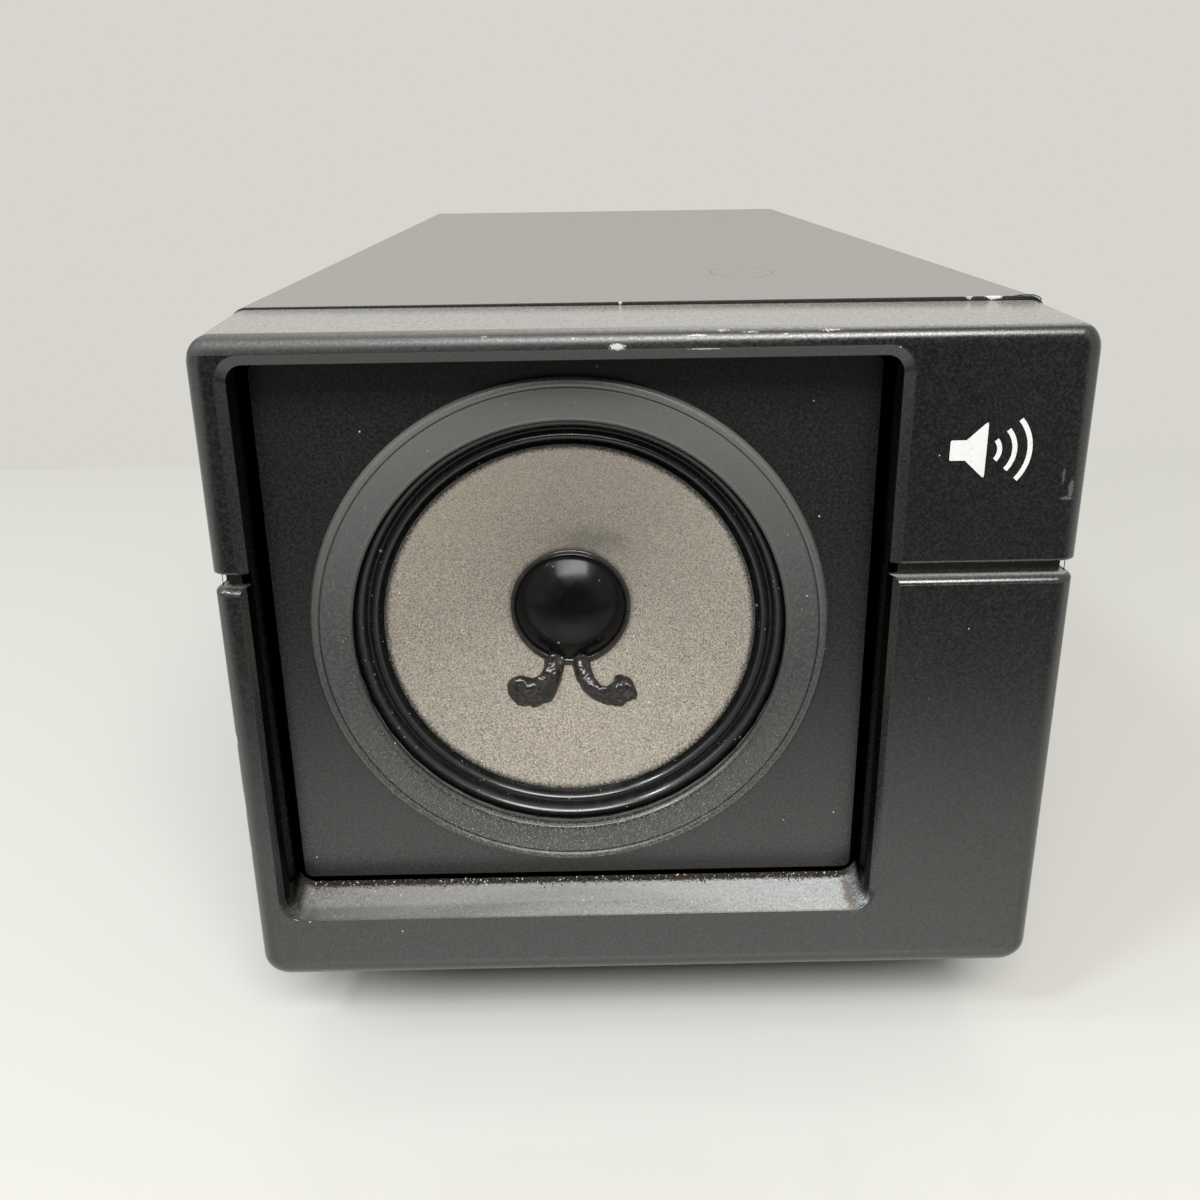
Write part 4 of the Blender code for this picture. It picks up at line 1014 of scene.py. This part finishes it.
def scatter(name, count, seed, place, sizes, materials):
    """Many small crumbs. place(random) gives a world point. The sizes are radii in millimetres."""
    rng = random.Random(seed)
    verts = []
    faces = []
    kinds = []
    unit = bmesh.new()
    bmesh.ops.create_icosphere(unit, subdivisions=1, radius=1)
    base = [v.co.copy() for v in unit.verts]
    corners = [[v.index for v in f.verts] for f in unit.faces]
    unit.free()
    for _ in range(count):
        centre = place(rng)
        radius = rng.uniform(*sizes)
        stretch = Vector((rng.uniform(0.5, 1.6), rng.uniform(0.5, 1.2), rng.uniform(0.4, 1.0)))
        turn = Matrix.Rotation(rng.uniform(0, 6.28), 3, "Y") @ Matrix.Rotation(rng.uniform(0, 6.28), 3, "Z")
        kind = rng.choices(range(len(materials)), weights=[m[1] for m in materials])[0]
        for face in corners:
            faces.append([len(verts) + i for i in face])
            kinds.append(kind)
        for co in base:
            verts.append(centre + turn @ (co * stretch) * radius * rng.uniform(0.7, 1.15) * MM)
    obj = piece(name, verts, faces, materials[0][0], slot="glue")
    for material, _ in materials[1:]:
        obj.data.materials.append(material)
    obj.data.polygons.foreach_set("material_index", kinds)
    obj.data.update()


def make_crumbs():
    """Dirt along the back of the ledge, and dust on the lower half of the trim ring."""
    brown = crumb_finish("crumb_brown", (0.07, 0.05, 0.038))
    black = crumb_finish("crumb_black", (0.02, 0.018, 0.017))
    pale = crumb_finish("crumb_pale", (0.6, 0.57, 0.52))

    def on_ledge(rng):
        depth = 8.6 - abs(rng.gauss(0, 0.7))
        x = rng.uniform(-58.6, 36.0)
        return at(x, depth, LEDGE_FRONT + LEDGE_SLOPE * depth + rng.uniform(-0.02, 0.12))

    scatter("ledge_crumbs", 2000, 7, on_ledge, (0.06, 0.2), ((brown, 5), (black, 5), (pale, 1.0)))

    def on_ring(rng):
        angle = math.radians(rng.gauss(-95, 50))
        x, height = polar(rng.uniform(34.9, 39.4), angle)
        return on_driver(x, RING_FRONT + 0.22, height)

    scatter("ring_dust", 700, 11, on_ring, (0.03, 0.08), ((pale, 4), (brown, 2)))


# ---- cabinet


def make_cover(material):
    """Bent steel cover, with a slightly rolled edge."""
    half = CABINET_HALF
    bend = 2.6
    path = [(-half, CABINET_LOW), (-half, CABINET_LOW + 0.2)]
    path += arc((-half + bend, CABINET_TOP - bend), bend, 180, 90, 12)
    path += arc((half - bend, CABINET_TOP - bend), bend, 90, 0, 12)
    path += [(half, CABINET_LOW + 0.2), (half, CABINET_LOW)]
    inner = beside(path, -1)
    front = SEAM + 0.3
    loops = []
    back = OVERALL_DEPTH
    for depth, inset in ((front, 0.12), (front + 0.12, 0), (back - 0.12, 0), (back, 0.12)):
        shape = []
        for out, into in ((path, inner), (inner[::-1], path[::-1])):
            for a, b in zip(out, into):
                shape.append((a[0] + (b[0] - a[0]) * inset, a[1] + (b[1] - a[1]) * inset))
        loops.append([at(x, depth, height) for x, height in shape])
    piece("steel_cover", *loops_mesh(loops), material, replaces=("cabinet_cover",), slot="cabinet_paint")


def make_paint_sliver(material):
    """Curl of lifted paint at the cover's front right corner."""
    curve = bpy.data.curves.new("paint_sliver", "CURVE")
    curve.dimensions = "3D"
    curve.bevel_depth = 0.09 * MM
    curve.bevel_resolution = 2
    curve.use_fill_caps = True
    curve.materials.append(material)
    spline = curve.splines.new("BEZIER")
    lying = ((58.4, 0.1, 0.02), (60.4, -0.2, 0.2), (61.6, -0.8, 0.1))
    route = (*lying, (62.1, -1.6, -0.35), (61.7, -2.0, -0.75))
    spline.bezier_points.add(len(route) - 1)
    for point, (x, depth, height) in zip(spline.bezier_points, route):
        point.co = at(x, SEAM + depth, CABINET_TOP + height)
        point.handle_left_type = "AUTO"
        point.handle_right_type = "AUTO"
    obj = new_object("paint_sliver", curve)
    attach(obj, "cabinet")


def screw_profile(head_radius, head_height, length):
    """Pan head and a shaft with ridges for its thread, from the head's top to the tip."""
    profile = [(0, -head_height)]
    for i in range(1, 9):
        turn = math.pi / 2 * i / 8
        profile.append((head_radius * math.sin(turn), -head_height * math.cos(turn) ** 0.7))
    profile += [(head_radius, -0.05), (head_radius - 0.08, 0), (1.25, 0)]
    pitch = 0.5
    place = 0.6
    while place < length - 0.8:
        profile += [(1.0, place), (1.25, place + pitch / 2)]
        place += pitch
    profile += [(0.9, length - 0.4), (0.4, length), (0, length)]
    return profile


def make_screws(black, zinc):
    """Cross-head screws in place of all the CAD's plain ones."""
    rear = (0, 1, 0)
    kinds = (
        ("baffle_screw_", rear, 1.8, 6.0, black, "black_screw"),
        ("bezel_screw_", rear, 1.8, 8.0, black, "black_screw"),
        ("clamp_screw_", rear, 1.4, 2.8, black, "black_screw"),
        ("cover_screw_left_", (-1, 0, 0), 1.1, 5.0, black, "black_screw"),
        ("cover_screw_right_", (1, 0, 0), 1.1, 5.0, black, "black_screw"),
        ("foot_screw_", (0, 0, -1), 1.8, 11.0, zinc, "zinc_steel"),
    )
    half_width = 0.3
    for prefix, direction, head, length, material, slot in kinds:
        axis = Vector(direction)
        for node in sorted(n for n in NODES if n.startswith(prefix)):
            low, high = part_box(node)
            reach = sum(abs(a) * (b - c) for a, b, c in zip(axis, high, low)) / 2
            spot = facing((low + high) / 2 + axis * (reach - head * MM), direction)
            profile = screw_profile(2.6, head, length)
            screw = raw(node.replace("screw", "fixing"), *turned(profile, 32, spot, closed=False))
            cutters = []
            for turn in (0.3, 0.3 + math.pi / 2):
                arm = spot @ Matrix.Rotation(turn, 4, "Z")
                loops = []
                for z, half in ((head + 0.5, 1.45 * 1.25), (head - 1.0, 1.45 * 0.45)):
                    ring = [(a * half, b * half_width) for a, b in ((-1, -1), (1, -1), (1, 1), (-1, 1))]
                    loops.append([arm @ (Vector((x, y, z)) * MM) for x, y in ring])
                cutters.append(raw("cross", *loops_mesh(loops)))
            cut(screw, cutters)
            settle(screw, material, replaces=(node,), slot=slot, angle=35)


def make_feet(material):
    """Round rubber feet with soft edges, each with a recess for its screw."""
    for node in sorted(n for n in NODES if n.startswith("foot_") and "screw" not in n):
        low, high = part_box(node)
        length = (high.z - low.z) / MM
        outside = [(4.0, 0.0, 0.5), (8.0, 0.0, 0.9), (8.7, 2.0, 0.4), (9.5, length, 0.3)]
        hole = [(1.7, length, 0.1), (1.7, 7.0, 0.1), (4.0, 7.0, 0.2)]
        spot = facing(Vector(((low.x + high.x) / 2, (low.y + high.y) / 2, low.z)), (0, 0, -1))
        name = node.replace("foot_", "rubber_foot_")
        spun(name, rounded(outside + hole, 0.2), 56, material, spot, replaces=(node,), slot="rubber")


def make_jack(plastic, nickel):
    """Panel jack with its washer and its hexagonal nut."""
    low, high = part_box("jack_washer")
    wall = (low.y - FRONT_Y) / MM - 0.3
    bush = OVERALL_DEPTH - 0.2
    axis = Vector(((low.x + high.x) / 2, FRONT_Y, (low.z + high.z) / 2))
    spot = Matrix.Translation(axis) @ Matrix.Rotation(-math.pi / 2, 4, "X")
    hole = 1.8
    hole_end = -283.5
    body = [(0, hole_end), (hole, hole_end, 0.05), (hole, -bush + 0.3, 0.1)]
    body += [(2.1, -bush, 0.05), (2.7, -bush, 0.1)]
    place = -bush + 0.4
    while place < -(wall + 0.3):
        body += [(3.0, place, 0.02), (2.8, place + 0.2, 0.02)]
        place += 0.4
    body += [(3.0, -(wall - 0.9), 0.05), (4.6, -(wall - 0.9), 0.2), (4.6, -281.5, 0.3), (0, -281.5)]
    ties = {"replaces": ("input_jack",), "slot": "jack_plastic", "angle": 35}
    spun("jack_socket", rounded(body, 0.05, 2, closed=False), 48, plastic, spot, **ties)
    washer = [(3.3, -wall - 0.8), (5.2, -wall - 0.8), (5.2, -wall - 0.3), (3.3, -wall - 0.3)]
    ties = {"replaces": ("jack_washer",), "slot": "nickel"}
    spun("jack_plain_washer", rounded(washer, 0.12), 56, nickel, spot, **ties)
    loops = []
    sides = 72
    bore = 3.25
    rings = ((bore, 1.1), (4.55, 1.1), (4.9, 1.35), (4.9, 2.55), (4.55, 2.8), (bore, 2.8))
    for radius_cap, rise in rings:
        loop = []
        for i in range(sides):
            angle = 2 * math.pi * i / sides
            flat = 4.3 / math.cos((angle + math.pi / 6) % (math.pi / 3) - math.pi / 6)
            radius = min(flat, radius_cap)
            loop.append(spot @ (Vector((*polar(radius, angle), wall + rise)) * MM))
        loops.append(loop)
    ties = {"replaces": ("jack_nut",), "slot": "nickel", "angle": 25}
    piece("jack_hex_nut", *loops_mesh(loops, closed=True), nickel, **ties)


def finish_cad_nodes(materials):
    """Procedural materials on the CAD nodes that stay."""
    for node, material in materials.items():
        mesh = NODES[node].data
        mesh.materials.clear()
        mesh.materials.append(material)


# ---- scene


FLOOR_END = 0.263
FLOOR_HALF = 3
FLOOR_WHITE = (0.475, 0.472, 0.457)
# The world light is dark straight ahead of the face, by the Y of the direction, and pale elsewhere.
WORLD_DARK_FROM = -0.96
WORLD_PALE_FROM = -0.78
WORLD_DARK = 0.03
WORLD_PALE = 0.68


def make_stage():
    """White floor that ends behind the object, with a dark strip in front for its face to mirror."""
    floor = Surface("floor_white", FLOOR_WHITE, 0.32, Coat_Weight=0.12, Coat_Roughness=0.03)
    fading = {0: floor.world(1), 1: -0.33, 2: -0.185}
    fade = floor.node("MapRange", fading, interpolation_type="SMOOTHSTEP")
    spread = floor.plus(floor.math("ABSOLUTE", floor.world(0)), floor.times(floor.world(1), 0.35))
    side = floor.ramp(spread, 0.15, 0.4)
    floor.paint(floor.math("MAXIMUM", fade.outputs[0], side), (0.02, 0.02, 0.02), FLOOR_WHITE)
    mesh = bpy.data.meshes.new("floor")
    corners = ((-1, -FLOOR_HALF), (1, -FLOOR_HALF), (1, FLOOR_END), (-1, FLOOR_END))
    mesh.from_pydata([(side * FLOOR_HALF, y, 0) for side, y in corners], [], [(0, 1, 2, 3)])
    mesh.materials.append(floor.material)
    obj = new_object("floor", mesh)


def add_area(name, place, target, size, power, colour):
    """Rectangular light at a place, aimed at a target. The power is in watts."""
    light = bpy.data.lights.new(name, "AREA")
    light.shape = "RECTANGLE"
    light.size, light.size_y = size
    light.energy = power
    light.color = colour
    obj = new_object(name, light)
    obj.location = place
    obj.rotation_euler = (Vector(target) - Vector(place)).to_track_quat("-Z", "Y").to_euler()


def make_lights():
    add_area("key", (0.08, -1.15, 1.15), (0, -0.05, 0.0), (1.1, 0.6), 33.5, (1.0, 0.99, 0.965))
    add_area("upper_left", (-0.8, -0.7, 1.2), (0, -0.1, 0.05), (0.22, 0.22), 7.0, (0.93, 0.98, 1.0))
    add_area("left_glint", (-0.95, -0.24, 0.72), (-0.03, -0.1, 0.11), (0.2, 0.45), 2.5, (0.95, 0.98, 1.0))
    world = bpy.data.worlds.new("room")
    bpy.context.scene.world = world
    world.use_nodes = True
    tree = world.node_tree
    background = tree.nodes["Background"]
    place = tree.nodes.new("ShaderNodeTexCoord")
    parts = tree.nodes.new("ShaderNodeSeparateXYZ")
    ramp = tree.nodes.new("ShaderNodeMapRange")
    for k, value in enumerate((WORLD_DARK_FROM, WORLD_PALE_FROM, WORLD_DARK, WORLD_PALE), 1):
        ramp.inputs[k].default_value = value
    tree.links.new(place.outputs["Generated"], parts.inputs[0])
    tree.links.new(parts.outputs[1], ramp.inputs[0])
    tree.links.new(ramp.outputs[0], background.inputs["Strength"])
    background.inputs["Color"].default_value = (1.0, 0.978, 0.915, 1)


def make_camera():
    camera = bpy.data.cameras.new("camera")
    camera.sensor_width = 36
    camera.lens = 36.13
    camera.clip_start = 0.01
    obj = new_object("camera", camera)
    pitch, yaw, roll = (math.radians(a) for a in (20.65, -0.57, -0.82))
    level = Matrix(((1, 0, 0), (0, 0, -1), (0, 1, 0)))
    turns = Matrix.Rotation(roll, 3, "Z") @ Matrix.Rotation(pitch, 3, "X") @ Matrix.Rotation(yaw, 3, "Y")
    turn = (turns @ level).transposed() @ Matrix.Diagonal((1, -1, -1))
    obj.matrix_world = Matrix.Translation((-0.0086, -0.3198, 0.1455)) @ turn.to_4x4()
    bpy.context.scene.camera = obj
    bpy.context.scene.view_settings.view_transform = "Standard"


def make_object():
    bezel = bezel_finish()
    baffle = baffle_finish()
    trim = trim_finish()
    glue = gloss_finish("glue", (0.012, 0.011, 0.01), 0.16, 0.06, 0.35)
    black_screw = metal_finish("black_screw", (0.05, 0.05, 0.052), 0.35)
    zinc = metal_finish("zinc_steel", (0.55, 0.54, 0.5), 0.32)
    nickel = metal_finish("nickel", (0.72, 0.7, 0.66), 0.22)
    jack = moulded_plastic("jack_plastic", (0.012, 0.012, 0.012), (0.02, 0.02, 0.02), 0.4, 0.4, 0.15, 0.0)
    paint = cover_finish()
    make_bezel(bezel)
    make_print(print_finish())
    make_ring(trim)
    make_surround(gloss_finish("surround_gloss", (0.005, 0.005, 0.0055), 0.22, 0.2, 0.0, 0.25))
    make_flexing_copies(
        weave_finish("spider_cloth", (0.25, 0.15, 0.06), (0.48, 0.31, 0.14), 0.7),
        metal_finish("braid", (0.6, 0.5, 0.35), 0.4, 0.15, (1, 4, 4)),
    )
    make_cone(cone_finish())
    make_dust_cap(gloss_finish("cap_gloss", (0.002, 0.002, 0.0022), 0.15, 0.02, shine=0.2))
    make_cap_glue(glue)
    make_lead_glue(glue)
    make_crumbs()
    make_cover(paint)
    make_paint_sliver(black_screw)
    make_screws(black_screw, zinc)
    make_feet(rubber_finish())
    make_jack(jack.material, nickel)
    board = fibre_finish("terminal_card", (0.12, 0.065, 0.03), (0.2, 0.115, 0.05), 0.6, 0.1)
    chassis = paint_finish("chassis_paint", (0.018, 0.018, 0.019), (0.034, 0.034, 0.035), 0.42, 0.45)
    brass = metal_finish("brass", (0.7, 0.55, 0.25), 0.3)
    materials = {
        "baffle_panel": baffle,
        "chassis": chassis.material,
        "driver_basket": metal_finish("basket_steel", (0.38, 0.36, 0.3), 0.38),
        "magnet_top_plate": zinc,
        "yoke_pole_piece": zinc,
        "ferrite_magnet": fibre_finish("ferrite", (0.03, 0.03, 0.033), (0.06, 0.06, 0.065), 0.4, 0.2),
        "driver_gasket": fibre_finish("gasket_card", (0.03, 0.028, 0.025), (0.06, 0.057, 0.05), 0.4),
        "voice_coil": metal_finish("copper", (0.7, 0.3, 0.15), 0.3, 0.2, (1, 12, 1)),
        "voice_coil_former": gloss_finish("former_film", (0.4, 0.22, 0.05), 0.3),
        "terminal_board": board,
        "solder_tag_left": brass,
        "solder_tag_right": brass,
        "speaker_wire_left": wire_finish("wire_black", (0.015, 0.015, 0.015)),
        "speaker_wire_right": wire_finish("wire_red", (0.45, 0.02, 0.02)),
        "damping_pad": fibre_finish("felt", (0.12, 0.115, 0.11), (0.26, 0.25, 0.235), 0.7, 0.9),
    }
    for number in range(1, 5):
        materials[f"driver_clamp_{number}"] = zinc
    finish_cad_nodes(materials)


make_stage()
make_lights()
make_camera()
make_object()
